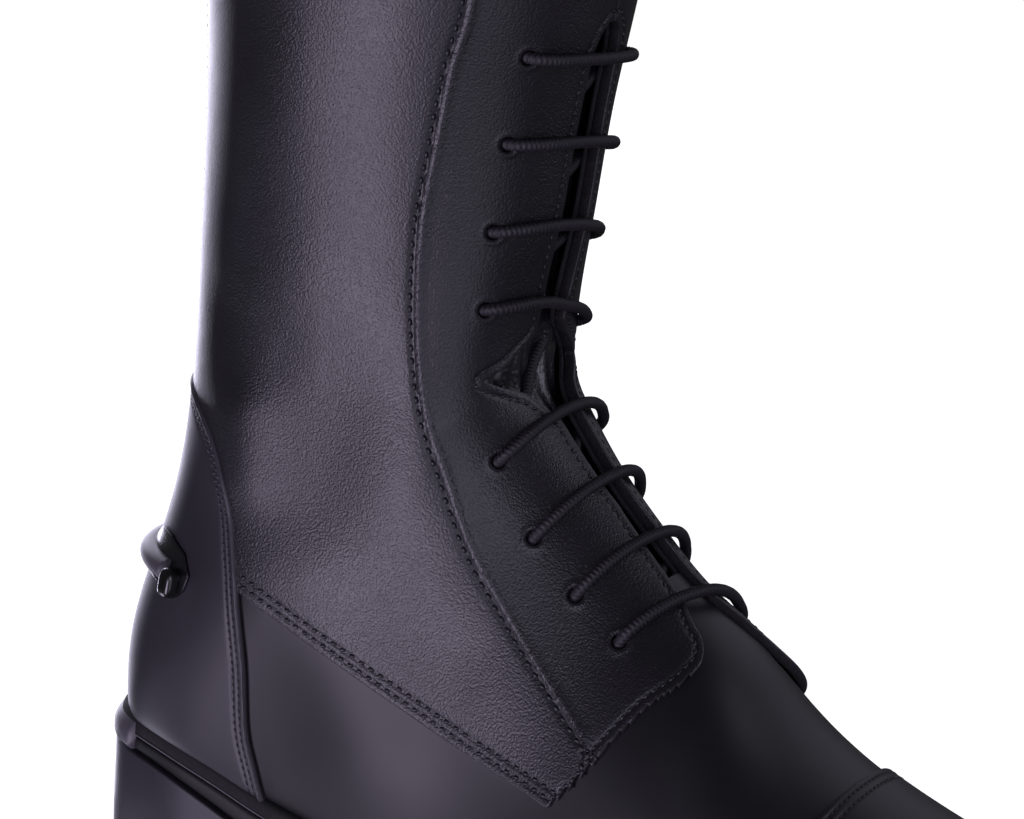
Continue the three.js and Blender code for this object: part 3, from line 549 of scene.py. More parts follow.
def grid(patches):
    """Points and triangles of patches (u from, to, w from, to, step in mm) side by side."""
    tables, faces, count = [], [], 0
    for u0, u1, w0, w1, step in patches:
        rows = max(int((u1 - u0) / step), 2)
        columns = max(int(abs(w1 - w0) * MM_PER_TURN / step), 2)
        u, w = np.meshgrid(np.linspace(u0, u1, rows + 1), np.linspace(w0, w1, columns + 1), indexing="ij")
        index = np.arange(u.size).reshape(u.shape) + count
        a, b, c, d = index[:-1, :-1], index[:-1, 1:], index[1:, 1:], index[1:, :-1]
        faces += [np.stack(t, axis=-1).reshape(-1, 3) for t in ((a, b, c), (a, c, d))]
        tables.append(np.column_stack([u.ravel(), w.ravel()]))
        count += u.size
    return np.vstack(tables), np.vstack(faces)


def cut(table, faces, column, level):
    """Splits the triangles along a level of a column, with a new point on each edge that crosses it."""
    value = table[:, column] - level
    value = np.where(np.abs(value) < 1e-7, 1e-7, value)
    above = value > 0
    count = above[faces].sum(axis=1)
    mixed = faces[(count == 1) | (count == 2)]
    whole = faces[(count == 0) | (count == 3)]
    if len(mixed) == 0:
        return table, faces
    single = np.where(above[mixed].sum(axis=1, keepdims=True) == 1, above[mixed], ~above[mixed])
    lone = single.argmax(axis=1)
    rows = np.arange(len(mixed))
    a, b, c = [mixed[rows, (lone + k) % 3] for k in range(3)]
    edges = np.sort(np.vstack([np.column_stack([a, b]), np.column_stack([a, c])]), axis=1)
    edges, index = np.unique(edges, axis=0, return_inverse=True)
    start, end = edges.T
    share = value[start] / (value[start] - value[end])
    fresh = table[start] + share[:, None] * (table[end] - table[start])
    fresh[:, column] = level
    ab, ac = len(table) + index.ravel()[:len(mixed)], len(table) + index.ravel()[len(mixed):]
    split = [np.column_stack(t) for t in ((a, ab, ac), (ab, b, c), (ab, c, ac))]
    return np.vstack([table, fresh]), np.vstack([whole, *split])


def weld(table, faces):
    """Joins points that lie in one place, and drops empty triangles and unused points."""
    places = np.round(surface(table[:, 0], table[:, 1]) * 1e3).astype(np.int64)
    _, first, index = np.unique(places, axis=0, return_index=True, return_inverse=True)
    faces = index.ravel()[faces]
    a, b, c = faces.T
    faces = faces[(a != b) & (b != c) & (c != a)]
    used, faces = np.unique(faces, return_inverse=True)
    return table[first[used]], faces.reshape(-1, 3)


def directed_edges(faces):
    """The three edges of each triangle, in its own direction."""
    return np.vstack([faces[:, [0, 1]], faces[:, [1, 2]], faces[:, [2, 0]]])


def rims(faces):
    """The directed edges that only one triangle has."""
    edges = directed_edges(faces)
    count = faces.max() + 1
    key, back = edges[:, 0] * count + edges[:, 1], edges[:, 1] * count + edges[:, 0]
    return edges[~np.isin(key, back)]


# Columns of every table: place, turn, and the distance from the sheet's own edge
PLACE, TURN, CLIP = 0, 1, 2


def panel(patches, columns, cuts, height, under):
    """A closed sheet on the upper's surface.

    columns gives each point's distances, the first of which is from the sheet's own edge. The sheet is cut
    off where that is below zero, and split at each (column, level) of cuts so that edges and channels have
    points of their own. It lies between under, a number or a function, and height, a function of the
    table. Both are measured straight off the surface.
    """
    table, faces = grid(patches)
    points = surface(table[:, 0], table[:, 1])
    table = np.column_stack([table, *columns(table[:, 0], points)])
    table, faces = cut(table, faces, CLIP, 0)
    faces = faces[table[faces, CLIP].mean(axis=1) > 0]
    for column, level in cuts:
        table, faces = cut(table, faces, column, level)
    table, faces = weld(table, faces)
    base = surface(table[:, 0], table[:, 1])
    off = off_surface(table[:, 0], table[:, 1])
    soft = relief(base)
    top = base + off * (height(table) + soft)[:, None]
    low = under(table) if callable(under) else under
    bottom = base + off * (low + soft)[:, None]
    a, b = rims(faces).T
    count = len(table)
    sides = np.vstack([np.column_stack([a, a + count, b + count]), np.column_stack([a, b + count, b])])
    return {
        "table": table, "faces": faces, "top": top, "off": off,
        "points": np.vstack([top, bottom]),
        "all": np.vstack([faces, faces[:, ::-1] + count, sides]),
        "edge": np.repeat([0, 1], [2 * len(faces), len(sides)]),
        "values": np.tile(table[:, CLIP], 2),
    }


def crisp(gap, radius=0.5):
    """How far a cut edge is rounded down at a distance from it: a quarter circle."""
    rest = 1 - np.clip(gap / radius, 0, 1)
    return radius * (1 - np.sqrt(1 - rest ** 2))


def puffed(gap, width, drop):
    """How far a turned edge falls away: a quarter ellipse of that width and drop."""
    rest = 1 - np.clip(gap / width, 0, 1)
    return drop * (1 - np.sqrt(1 - rest ** 2))


def channel(gap, row, depth=0.22, width=0.55):
    """The groove that a row of stitches pulls into the leather: a bell across the row."""
    return depth * np.exp(-((gap - row) / width) ** 2)


EDGE_LEVELS = [0.05, 0.2, 0.5]


def edge_cuts(column):
    """Levels that give a cut edge the points of its rounding."""
    return [(column, level) for level in EDGE_LEVELS]


def row_cuts(column, rows):
    """Levels that give each row of stitches the points of its groove."""
    return [(column, row + step) for row in rows for step in (-0.9, -0.45, 0, 0.45, 0.9)]


# Rows of stitches

def chains(edges):
    """Joins loose edges end to end into lists of point numbers."""
    beside = {}
    for a, b in edges:
        beside.setdefault(int(a), []).append(int(b))
        beside.setdefault(int(b), []).append(int(a))
    ends = [p for p, others in beside.items() if len(others) == 1]
    found, seen = [], set()
    for start in ends + list(beside):
        if start in seen:
            continue
        chain, here = [start], start
        seen.add(start)
        while True:
            ahead = [p for p in beside[here] if p not in seen]
            if not ahead:
                break
            here = ahead[0]
            seen.add(here)
            chain.append(here)
        found.append(chain)
    return found


def rows_on(sheet, column, level, where, shortest=8):
    """The lines on a sheet's top where a column has a level: points and directions off the surface."""
    table, faces = sheet["table"], sheet["faces"]
    on = (np.abs(table[:, column] - level) < 1e-6) & where(table, sheet["top"])
    edges = np.sort(directed_edges(faces), axis=1)
    edges = np.unique(edges[on[edges].all(axis=1)], axis=0)
    lines = []
    for chain in chains(edges):
        points, off = sheet["top"][chain], sheet["off"][chain]
        if len(chain) > 3 and np.linalg.norm(np.diff(points, axis=0), axis=1).sum() > shortest:
            lines.append((points, off))
    return lines


def resampled(points, off, pitch):
    """Centres, directions along and directions off, at a pitch along a line that is smoothed a little."""
    length = np.concatenate([[0], np.cumsum(np.linalg.norm(np.diff(points, axis=0), axis=1))])
    fine = np.linspace(0, length[-1], max(int(length[-1] / 0.4), 8))
    line = np.column_stack([np.interp(fine, length, points[:, k]) for k in range(3)])
    turn = np.column_stack([np.interp(fine, length, off[:, k]) for k in range(3)])
    window = np.ones(5) / 5
    inner = np.column_stack([np.convolve(line[:, k], window, "valid") for k in range(3)])
    line = np.vstack([line[:2], inner, line[-2:]])
    along = np.gradient(line, fine, axis=0)
    count = max(int(length[-1] / pitch), 1)
    at = (np.arange(count) + 0.5) * length[-1] / count
    centre, ahead, out = [np.column_stack([np.interp(at, fine, v[:, k]) for k in range(3)])
                          for v in (line, along, turn)]
    return centre, unit(ahead), unit(out)


def stamped(shape, shape_faces, centre, along, off, angle=0.0):
    """Copies of a small shape on frames: its x lies along the line, y across it, z off the leather."""
    across = np.cross(off, along)
    ahead = along * np.cos(angle) + across * np.sin(angle)
    across = np.cross(off, ahead)
    axes = np.stack([ahead, across, off], axis=1)
    points = centre[:, None] + np.einsum("pk,nkc->npc", shape, axes)
    faces = shape_faces[None] + len(shape) * np.arange(len(centre))[:, None, None]
    return points.reshape(-1, 3), faces.reshape(-1, shape_faces.shape[1])


def round_angles(count):
    """Angles evenly round a circle."""
    return np.linspace(0, 2 * np.pi, count, endpoint=False)


def pill(length, radius, rings=4, sides=6, sink=0.35):
    """A stitch: a rounded rod whose ends dip into the leather."""
    a = np.linspace(-1, 1, rings + 1)[:, None]
    theta = round_angles(sides)[None]
    thick = radius * np.sqrt(np.maximum(1 - a ** 4, 0)) + 0.02
    x = a * length / 2 + 0 * theta
    y = thick * np.cos(theta)
    z = thick * np.sin(theta) * 0.85 + 0.12 - sink * a ** 2 + 0 * theta
    return np.stack([x, y, z], axis=-1).reshape(-1, 3), tube_faces(rings + 1, sides)


def tube_faces(rings, sides, closed=False):
    """Quads between rings of points, and from the last ring to the first where the tube is a loop."""
    i = np.arange(rings if closed else rings - 1)[:, None]
    j = np.arange(sides)[None]
    k = (j + 1) % sides
    n = (i + 1) % rings
    return np.stack([i * sides + j, i * sides + k, n * sides + k, n * sides + j], axis=-1).reshape(-1, 4)


def triangles(faces):
    """Quads as pairs of triangles."""
    return np.vstack([faces[:, [0, 1, 2]], faces[:, [0, 2, 3]]]) if faces.shape[1] == 4 else faces


def ring_caps(rings, sides):
    """Fans that close both ends of a tube, each from its own first point."""
    j = np.arange(1, sides - 1)
    last = (rings - 1) * sides
    return np.vstack([np.column_stack([0 * j, j + 1, j]), last + np.column_stack([0 * j, j, j + 1])])


def outward(points, faces):
    """The faces of a closed piece, turned so that its volume is above zero."""
    a, b, c = [points[faces[:, k]] for k in range(3)]
    volume = np.einsum("ij,ij->i", a, np.cross(b, c)).sum()
    return faces if volume > 0 else faces[:, ::-1]


def closed_tube(rings):
    """A tube through rings of points, closed at both ends, as points and outward triangles."""
    count, sides = rings.shape[:2]
    points = rings.reshape(-1, 3)
    faces = np.vstack([triangles(tube_faces(count, sides)), ring_caps(count, sides)])
    return points, outward(points, faces)


def swept(centres, across, up, profile):
    """A closed profile carried along a path in frames of two directions."""
    return closed_tube(centres[:, None] + (
        profile[None, :, :1] * across[:, None] + profile[None, :, 1:] * up[:, None]))


# Meshes

def make_piece(name, points, faces, materials, slot, replaces=(), parts=None, values=None):
    """Puts points in millimetres and faces of one size into a mesh, parents the piece to the body's empty and
    hides the solids it replaces.

    parts numbers each face's material. values is each point's distance from a cut edge, which leather reads.
    """
    mesh = bpy.data.meshes.new(name)
    mesh.vertices.add(len(points))
    mesh.vertices.foreach_set("co", ((points - [ORIGIN_X, 0, 0]) * MM).ravel())
    mesh.loops.add(faces.size)
    mesh.loops.foreach_set("vertex_index", faces.ravel())
    mesh.polygons.add(len(faces))
    mesh.polygons.foreach_set("loop_start", np.arange(0, faces.size, faces.shape[1]))
    for material in materials:
        mesh.materials.append(material)
    if parts is not None:
        mesh.polygons.foreach_set("material_index", np.asarray(parts, np.int32))
    mesh.polygons.foreach_set("use_smooth", np.ones(len(faces), bool))
    if values is not None:
        mesh.attributes.new("edge_gap", "FLOAT", "POINT").data.foreach_set("value", values)
    mesh.update(calc_edges=True)
    mesh.validate()
    piece = bpy.data.objects.new(name, mesh)
    bpy.context.scene.collection.objects.link(piece)
    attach(piece, BODY)
    if replaces:
        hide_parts(*replaces)


def make_panel(name, sheet, materials, slot, replaces=()):
    """A panel's sheet as a piece, with its cut edge in the second material."""
    make_piece(name, sheet["points"], sheet["all"], materials, slot, replaces,
               parts=sheet["edge"], values=sheet["values"])


def joined(parts):
    """Several (points, faces) as one."""
    counts = np.cumsum([0] + [len(points) for points, _ in parts[:-1]])
    return np.vstack([p for p, _ in parts]), np.vstack([f + n for (_, f), n in zip(parts, counts)])


STITCH_SHARE = 0.74
HOLE_LENGTH = 0.95
HOLE_RADIUS = 0.42
HOLE_DEPTH = 0.36


def sew(name, lines, pitch, thickness=0.66, slant=0.1):
    """One piece for the stitches of some lines: a slanted rod at each pitch, and between them a black lens of
    painted shade for the needle hole.
    """
    shape, shape_faces = pill(pitch * STITCH_SHARE, thickness / 2)
    # A small black lens sunk into the leather at each needle hole: painted shade for the hole's dark inside
    hole, hole_faces = pill(HOLE_LENGTH, HOLE_RADIUS, rings=2)
    hole[:, 2] -= HOLE_DEPTH
    parts, marks = [], []
    for points, off in lines:
        centre, along, out = resampled(points, off, pitch)
        rods = stamped(shape, shape_faces, centre, along, out, slant)
        hole_shades = stamped(hole, hole_faces, centre + along * pitch / 2, along, out)
        parts += [rods, hole_shades]
        marks += [np.zeros(len(rods[1])), np.ones(len(hole_shades[1]))]
    make_piece(name, *joined(parts), [THREAD, NEEDLE_HOLE_SHADE], "lace_cord", parts=np.concatenate(marks))


# Materials

def linear(hex_colour):
    """An sRGB hex colour as linear red, green, blue and alpha."""
    parts = np.array([int(hex_colour[i:i + 2], 16) for i in (1, 3, 5)]) / 255
    low, high = parts / 12.92, ((parts + 0.055) / 1.055) ** 2.4
    return (*np.where(parts <= 0.04045, low, high).tolist(), 1.0)


def add(tree, kind, sockets, **settings):
    """Adds a node, sets its settings, and fills each named socket or links it to another node's output."""
    node = tree.nodes.new(kind)
    for key, value in settings.items():
        setattr(node, key, value)
    for key, value in sockets.items():
        if isinstance(value, bpy.types.NodeSocket):
            tree.links.new(value, node.inputs[key])
        else:
            node.inputs[key].default_value = value
    return node


def new_material(name):
    """An empty node material and its tree."""
    material = bpy.data.materials.new(name)
    material.use_nodes = True
    material.node_tree.nodes.clear()
    return material, material.node_tree


def per_mm(size):
    """A texture scale whose cells have a size in millimetres."""
    return 1 / (size * MM)


def ranged(tree, value, low=0.0, high=1.0):
    """Spreads the values that noise mostly has, 0.3 to 0.7, over a range."""
    return add(tree, "ShaderNodeMapRange", {"Value": value, "From Min": 0.3, "From Max": 0.7,
                                            "To Min": low, "To Max": high}).outputs[0]


def blended(tree, share, first, second):
    """The colour at a share of the way from the first to the second."""
    return add(tree, "ShaderNodeMix", {"Factor": share, 6: first, 7: second}, data_type="RGBA").outputs[2]


EDGE_REACH = 0.5
BROAD_PATCH = 38


def leather(name, dark, light, grain, grain_depth, rough, rough_spread, coat, edge_highlight=0.25):
    """Dyed and finished cowhide.

    A cell pattern of the grain's size with finer noise gives the bump. Broad noise shifts the colour and the
    gloss as hand finishing does. The last half millimetre at a cut edge is painted lighter: a painted
    highlight for the light that the edge's rounding catches.
    """
    material, tree = new_material(name)
    place = add(tree, "ShaderNodeTexCoord", {}).outputs["Object"]
    warp = add(tree, "ShaderNodeTexNoise", {"Vector": place, "Scale": per_mm(grain * 3), "Detail": 2.0})
    shifted = add(tree, "ShaderNodeVectorMath", {0: warp.outputs["Color"], 1: (grain * MM,) * 3},
                  operation="MULTIPLY")
    moved = add(tree, "ShaderNodeVectorMath", {0: place, 1: shifted.outputs[0]}, operation="ADD")
    cells = add(tree, "ShaderNodeTexVoronoi", {"Vector": moved.outputs[0], "Scale": per_mm(grain)},
                feature="SMOOTH_F1")
    fine = add(tree, "ShaderNodeTexNoise", {"Vector": place, "Scale": per_mm(grain * 0.6), "Detail": 4.0})
    rough_fine = add(tree, "ShaderNodeMath", {0: fine.outputs["Fac"], 1: 0.6}, operation="MULTIPLY")
    height = add(tree, "ShaderNodeMath", {0: rough_fine.outputs[0], 1: cells.outputs["Distance"]},
                 operation="SUBTRACT")
    patch = {"Vector": place, "Scale": per_mm(BROAD_PATCH), "Detail": 3.0}
    broad = add(tree, "ShaderNodeTexNoise", patch).outputs["Fac"]
    bump = add(tree, "ShaderNodeBump", {"Height": height.outputs[0], "Distance": grain_depth * MM,
                                        "Strength": 1.0})
    colour = blended(tree, ranged(tree, broad), linear(dark), linear(light))
    # Painted highlight: within EDGE_REACH of a cut edge the colour is blended towards pale grey, for the
    # light the edge's rounding catches
    gap = add(tree, "ShaderNodeAttribute", {}, attribute_name="edge_gap")
    edge_highlight_share = add(tree, "ShaderNodeMapRange", {"Value": gap.outputs["Fac"], "From Min": 0.0,
                                            "From Max": EDGE_REACH, "To Min": edge_highlight, "To Max": 0.0})
    highlit_colour = blended(tree, edge_highlight_share.outputs[0], colour, linear("#6a666e"))
    gloss = ranged(tree, broad, rough - rough_spread, rough + rough_spread)
    shader = add(tree, "ShaderNodeBsdfPrincipled", {
        "Base Color": highlit_colour, "Roughness": gloss, "Normal": bump.outputs[0],
        "IOR": 1.5, "Coat Weight": coat, "Coat Roughness": 0.28, "Coat IOR": 1.45,
    })
    add(tree, "ShaderNodeOutputMaterial", {"Surface": shader.outputs[0]})
    return material


def matter(name, dark, light, spot, depth, rough, coat=0.0, metallic=0.0, bands=None):
    """A plain dull or moulded stuff: noise of one spot size for its colour and bump, with bands if given.

    bands is (direction, spacing in mm, share of the bump) for the ribs that threads make.
    """
    material, tree = new_material(name)
    place = add(tree, "ShaderNodeTexCoord", {}).outputs["Object"]
    spots = {"Vector": place, "Scale": per_mm(spot), "Detail": 5.0}
    noise = add(tree, "ShaderNodeTexNoise", spots).outputs["Fac"]
    height = noise
    if bands:
        direction, spacing, share = bands
        wave = add(tree, "ShaderNodeTexWave", {"Vector": place, "Scale": per_mm(spacing) / 20,
                                               "Distortion": 0.4}, bands_direction=direction)
        height = add(tree, "ShaderNodeMix", {"Factor": share, 2: height, 3: wave.outputs["Fac"]},
                     data_type="FLOAT").outputs[0]
    bump = add(tree, "ShaderNodeBump", {"Height": height, "Distance": depth * MM, "Strength": 1.0})
    colour = blended(tree, ranged(tree, noise), linear(dark), linear(light))
    gloss = ranged(tree, noise, rough - 0.05, rough + 0.05)
    shader = add(tree, "ShaderNodeBsdfPrincipled", {
        "Base Color": colour, "Roughness": gloss, "Normal": bump.outputs[0],
        "IOR": 1.5, "Coat Weight": coat, "Coat Roughness": 0.25, "Metallic": metallic,
    })
    add(tree, "ShaderNodeOutputMaterial", {"Surface": shader.outputs[0]})
    return material


# Boarded calf of the quarters and facings: fine pebbles break the shine into a soft, dark sheen
GRAINED = leather("grained_calf", "#17161a", "#1e1c22", 0.55, 0.12, 0.35, 0.04, 0.12)
# Smooth calf lasted wet, on the vamp and the toe cap: nearly black, its base darker than the grained calf's
# as painted shade where these parts face away from the lights, with broad calm lights
SHADE_PAINTED_CALF = leather("calf_with_painted_shade", "#0e0d11", "#131217", 0.45, 0.008, 0.42, 0.03, 0.0, edge_highlight=0.35)
# Smooth calf moulded over the heel: its black lightened to an even grey as painted sheen, standing in for the
# light the counter reflects, and painted lightest along its cut edge as a highlight
SHEEN_PAINTED_CALF = leather("calf_with_painted_sheen", "#242229", "#2b2930", 0.45, 0.006, 0.45, 0.03, 0.0, edge_highlight=0.5)
# Thin leather tumbled soft: wide crinkles, each with a small bright light
GUSSET = leather("crinkled_gusset_leather", "#17161b", "#1f1e24", 1.3, 0.22, 0.28, 0.04, 0.5)
# Leather cut through and inked: dull and fibrous, a thin paler line round each panel
RAW_EDGE = matter("raw_leather_edge", "#1d1b1e", "#39363b", 0.7, 0.12, 0.9)
# Lining leather dyed through and left plain: flat dark grey with hardly a light on it
LINING = matter("lining_leather", "#262326", "#302c30", 1.2, 0.05, 0.75)
# Waxed polyester thread: short glints a little lighter than the leather round them
THREAD = matter("waxed_thread", "#1b1a1f", "#26242b", 0.5, 0.05, 0.38)
# Painted shade of the needle holes: black points between the stitches, where the holes are dark inside
NEEDLE_HOLE_SHADE = matter("needle_hole_shade", "#030304", "#050506", 0.5, 0.01, 0.95)
# Elastic core braided over with polyester: a soft grey sparkle that follows the ribs
BRAID = matter("braided_elastic_cord", "#17151a", "#2b282f", 0.35, 0.09, 0.6)
# Extruded rubber strip: matt and the darkest line of the boot
RAND = matter("rubber_rand", "#070709", "#0a0a0c", 0.8, 0.02, 0.8)
# The same strip painted pale at its lower lip: a painted highlight, the thin light line that the lip catches
# round the sole
RAND_LIP_HIGHLIGHT = matter("rand_lip_painted_highlight", "#4a4850", "#5a5760", 0.8, 0.02, 0.5)
# Rubber pressed in a smooth mould: dark, with a faint wide light
SOLE_RUBBER = matter("moulded_sole_rubber", "#0a0a0c", "#0f0f11", 0.9, 0.02, 0.6)
# Heel layers sanded together and given a low shine: a plain grey band whose grey, lighter than the leather's
# black, is painted light for the light that falls on the heel's side
HEEL_STACK_PAINTED_LIGHT = matter("heel_stack_with_painted_light", "#2a282f", "#302e36", 1.0, 0.015, 0.45, coat=0.1)
# Hard-wearing rubber of the heel's top piece: dry and slightly rough
TREAD = matter("tread_rubber", "#101011", "#19191a", 0.8, 0.06, 0.8)
# Tape woven of polyester: fine level ribs without any shine
TAPE = matter("woven_zip_tape", "#131216", "#1d1b20", 0.4, 0.08, 0.85, bands=("Z", 0.9, 0.6))
# Nylon wire wound to teeth: small soft lights, one on each tooth
COIL = matter("nylon_zip_coil", "#0f0f12", "#1a191d", 0.6, 0.03, 0.4)
# Cast zinc, blackened: a dark metal gleam
SLIDER = matter("blackened_zinc", "#26252a", "#302f35", 0.8, 0.01, 0.3, metallic=0.8)
# Black plastic from a polished mould: sharp lights on black
MOULDED_BLACK = matter("moulded_black_plastic", "#0c0c0e", "#121214", 0.7, 0.01, 0.22, coat=0.4)


# Camera, lights and floor

PHOTO_WIDTH = 1024
FOCAL_PIXELS = 3463
SENSOR = 36
CAMERA_AZIMUTH = 27.37
CAMERA_ELEVATION = 13.95
CAMERA_ROLL = 5.37
CAMERA_DISTANCE = 891
CAMERA_TARGET = (108.4, -6.57, 146.56)


def placed_point(point):
    """A point in millimetres as metres in the boot's frame."""
    return Vector(((point[0] - ORIGIN_X) * MM, point[1] * MM, point[2] * MM))


def seen_from(azimuth, elevation):
    """The direction out to angles in degrees. Azimuth 0 is straight out from the outer side."""
    a, e = np.radians([azimuth, elevation])
    return Vector((np.sin(a) * np.cos(e), -np.cos(a) * np.cos(e), np.sin(e)))


def make_camera():
    """The photograph's view: a direction and distance from a target, then a roll about the line of sight."""
    roll = np.radians(CAMERA_ROLL)
    back = seen_from(CAMERA_AZIMUTH, CAMERA_ELEVATION)
    right = (-back).cross(Vector((0, 0, 1))).normalized()
    up = right.cross(-back)
    turned_right = right * np.cos(roll) + up * np.sin(roll)
    turned_up = up * np.cos(roll) - right * np.sin(roll)
    data = bpy.data.cameras.new("camera")
    data.sensor_width = SENSOR
    data.lens = FOCAL_PIXELS / PHOTO_WIDTH * SENSOR
    data.clip_start = 0.05
    camera = bpy.data.objects.new("camera", data)
    turn = Matrix((turned_right, turned_up, back)).transposed().to_4x4()
    camera.matrix_world = Matrix.Translation(placed_point(CAMERA_TARGET) + back * CAMERA_DISTANCE * MM) @ turn
    bpy.context.scene.collection.objects.link(camera)
    bpy.context.scene.camera = camera


COOL = (0.83, 0.8, 1)
VIOLET = (0.85, 0.75, 1)
LIGHTS_AIM = (0.06, 0, 0.2)


def make_light(name, azimuth, elevation, away, width, height, power, tint=COOL):
    """A soft box at angles round the boot, facing it. Its distance and sides are in metres."""
    back = seen_from(azimuth, elevation)
    data = bpy.data.lights.new(name, "AREA")
    data.shape = "RECTANGLE"
    data.size, data.size_y = width, height
    data.energy = power
    data.color = tint
    light = bpy.data.objects.new(name, data)
    light.location = Vector(LIGHTS_AIM) + back * away
    light.rotation_mode = "QUATERNION"
    light.rotation_quaternion = back.to_track_quat("Z", "Y")
    light.visible_camera = False
    bpy.context.scene.collection.objects.link(light)


ROOM_LIGHT = 0.05
ROOM_TINT = (0.93, 0.93, 1, 1)


def make_world():
    """A white room: full white where the camera sees it, and much dimmer as a light on the boot."""
    world = bpy.data.worlds.new("white_room")
    world.use_nodes = True
    tree = world.node_tree
    tree.nodes.clear()
    seen = add(tree, "ShaderNodeLightPath", {}).outputs["Is Camera Ray"]
    white = add(tree, "ShaderNodeBackground", {"Color": (1, 1, 1, 1), "Strength": 1.0})
    dim = add(tree, "ShaderNodeBackground", {"Color": ROOM_TINT, "Strength": ROOM_LIGHT})
    mix = add(tree, "ShaderNodeMixShader", {0: seen, 1: dim.outputs[0], 2: white.outputs[0]})
    add(tree, "ShaderNodeOutputWorld", {"Surface": mix.outputs[0]})
    bpy.context.scene.world = world


FLOOR_HALF = 6.0


def make_floor():
    """A white table that looks as bright as the room and lets the light of the low soft boxes through."""
    a = FLOOR_HALF
    mesh = bpy.data.meshes.new("floor")
    mesh.from_pydata([(-a, -a, 0), (a, -a, 0), (a, a, 0), (-a, a, 0)], [], [(0, 1, 2, 3)])
    floor = bpy.data.objects.new("floor", mesh)
    material, tree = new_material("white_paper")
    seen = add(tree, "ShaderNodeLightPath", {}).outputs["Is Camera Ray"]
    paper = add(tree, "ShaderNodeBsdfPrincipled", {
        "Base Color": (0.4, 0.4, 0.4, 1), "Roughness": 0.9,
        "Emission Color": (1, 1, 1, 1), "Emission Strength": 1.0,
    })
    clear = add(tree, "ShaderNodeBsdfTransparent", {})
    mix = add(tree, "ShaderNodeMixShader", {0: seen, 1: clear.outputs[0], 2: paper.outputs[0]})
    add(tree, "ShaderNodeOutputMaterial", {"Surface": mix.outputs[0]})
    mesh.materials.append(material)
    bpy.context.scene.collection.objects.link(floor)


def light_the_boot():
    """Seven soft boxes.

    The tall box stands before the outer side and gives the shaft its broad light. The fill and bend boxes
    stand nearer to the toe, the low box under the heel, the front box beyond the toe, the back box behind the
    heel, and the far box on the inner side.
    """
    make_light("tall_box", azimuth=-13, elevation=-21, away=1.5, width=0.72, height=0.95, power=13.4,
               tint=VIOLET)
    make_light("fill_box", azimuth=46, elevation=-10, away=1.6, width=0.8, height=1.1, power=3)
    make_light("bend_box", azimuth=24, elevation=11, away=1.6, width=0.5, height=0.6, power=3.5)
    make_light("low_box", azimuth=-84, elevation=-42, away=1.6, width=0.8, height=0.5, power=3.6)
    make_light("front_box", azimuth=110, elevation=20, away=1.6, width=0.4, height=1.2, power=4.6)
    make_light("back_box", azimuth=-133, elevation=-4, away=1.6, width=0.85, height=1.3, power=20)
    make_light("far_box", azimuth=165, elevation=30, away=1.7, width=1.2, height=1.4, power=2.4)


bpy.context.scene.view_settings.view_transform = "Standard"
make_camera()
make_world()
make_floor()
light_the_boot()


# The lace: bars across the throat, each from the near eyelet to the far one, and strands behind

# Points of a bar: shares of EYELET_OFFSET from the middle, and heights off the leather. BOWS are the extra
# heights of the eight bars at their crowns, from the lowest up.
BAR_SHARES = np.array([-1.03, -1.02, -0.96, -0.8, -0.5, -0.2, 0.1, 0.4, 0.7, 0.92, 1.0, 1.03])
BAR_HEIGHTS = np.array([-4.2, -0.5, 2.6, 3.9, 3.8, 3.7, 3.7, 3.8, 4.2, 3.9, 1.0, -3.6])
BOWS = [0.4, 1.0, 1.0, 0.8, 0.2, 0.2, 0.2, 0.2]
BEHIND = -3.7
LACE_STEP = 0.24
LACE_SIDES = 14
BRAID_PITCH = 1.15


def off_front(section, y, height):
    """A point over the front of a section, at a breadth and a height straight off the leather."""
    u, w = at_breadth(section, y)
    return surface(u, w) + off_surface(u, w) * np.asarray(height)[..., None]


def smooth_path(points, step):
    """A Hermite curve through points with chord-length slopes, sampled at a step."""
    gaps = np.maximum(np.linalg.norm(np.diff(points, axis=0), axis=1), 1e-6)
    knots = np.concatenate([[0], np.cumsum(gaps)])
    tangents = np.gradient(points, knots, axis=0)
    at = np.linspace(0, knots[-1], int(knots[-1] / step))
    i = np.clip(np.searchsorted(knots, at) - 1, 0, len(points) - 2)
    t = ((at - knots[i]) / gaps[i])[:, None]
    h = gaps[i][:, None]
    return ((2 * t ** 3 - 3 * t ** 2 + 1) * points[i] + (t ** 3 - 2 * t ** 2 + t) * h * tangents[i]
            + (3 * t ** 2 - 2 * t ** 3) * points[i + 1] + (t ** 3 - t ** 2) * h * tangents[i + 1])


def carried_frames(path, start):
    """Two directions across a path, carried along it without twist."""
    along = unit(np.gradient(path, axis=0))
    across = np.empty_like(path)
    side = np.asarray(start, float)
    for i, ahead in enumerate(along):
        side = side - ahead * (side @ ahead)
        side = side / np.linalg.norm(side)
        across[i] = side
    return across, np.cross(along, across)


def lace_path():
    """Control points from the top near eyelet down to the lowest bar, crossing behind between bars.

    A bar's bow is a sine to the power 1.5 of the place along it.
    """
    points = []
    near, far = LACE_SECTIONS[-1], LACE_SECTIONS[1]
    order = list(range(len(near)))[::-1]
    across = np.clip((BAR_SHARES + 1) / 2, 0, 1)
    for n, i in enumerate(order):
        section = near[i] + (far[i] - near[i]) * across
        y = BAR_SHARES * EYELET_OFFSET
        bow = BOWS[i] * np.sin(np.pi * np.clip((BAR_SHARES + 0.3) / 1.3, 0, 1)) ** 1.5
        points.append(off_front(section, y, BAR_HEIGHTS + bow))
        if n + 1 < len(order):
            share = np.array([0.25, 0.5, 0.75])
            sections = far[i] + (near[order[n + 1]] - far[i]) * share
            breadths = EYELET_OFFSET * (1 - 2 * share) * 0.8
            points.append(off_front(sections, np.where(breadths == 0, 0.2, breadths), np.full(3, BEHIND)))
    return np.vstack(points)


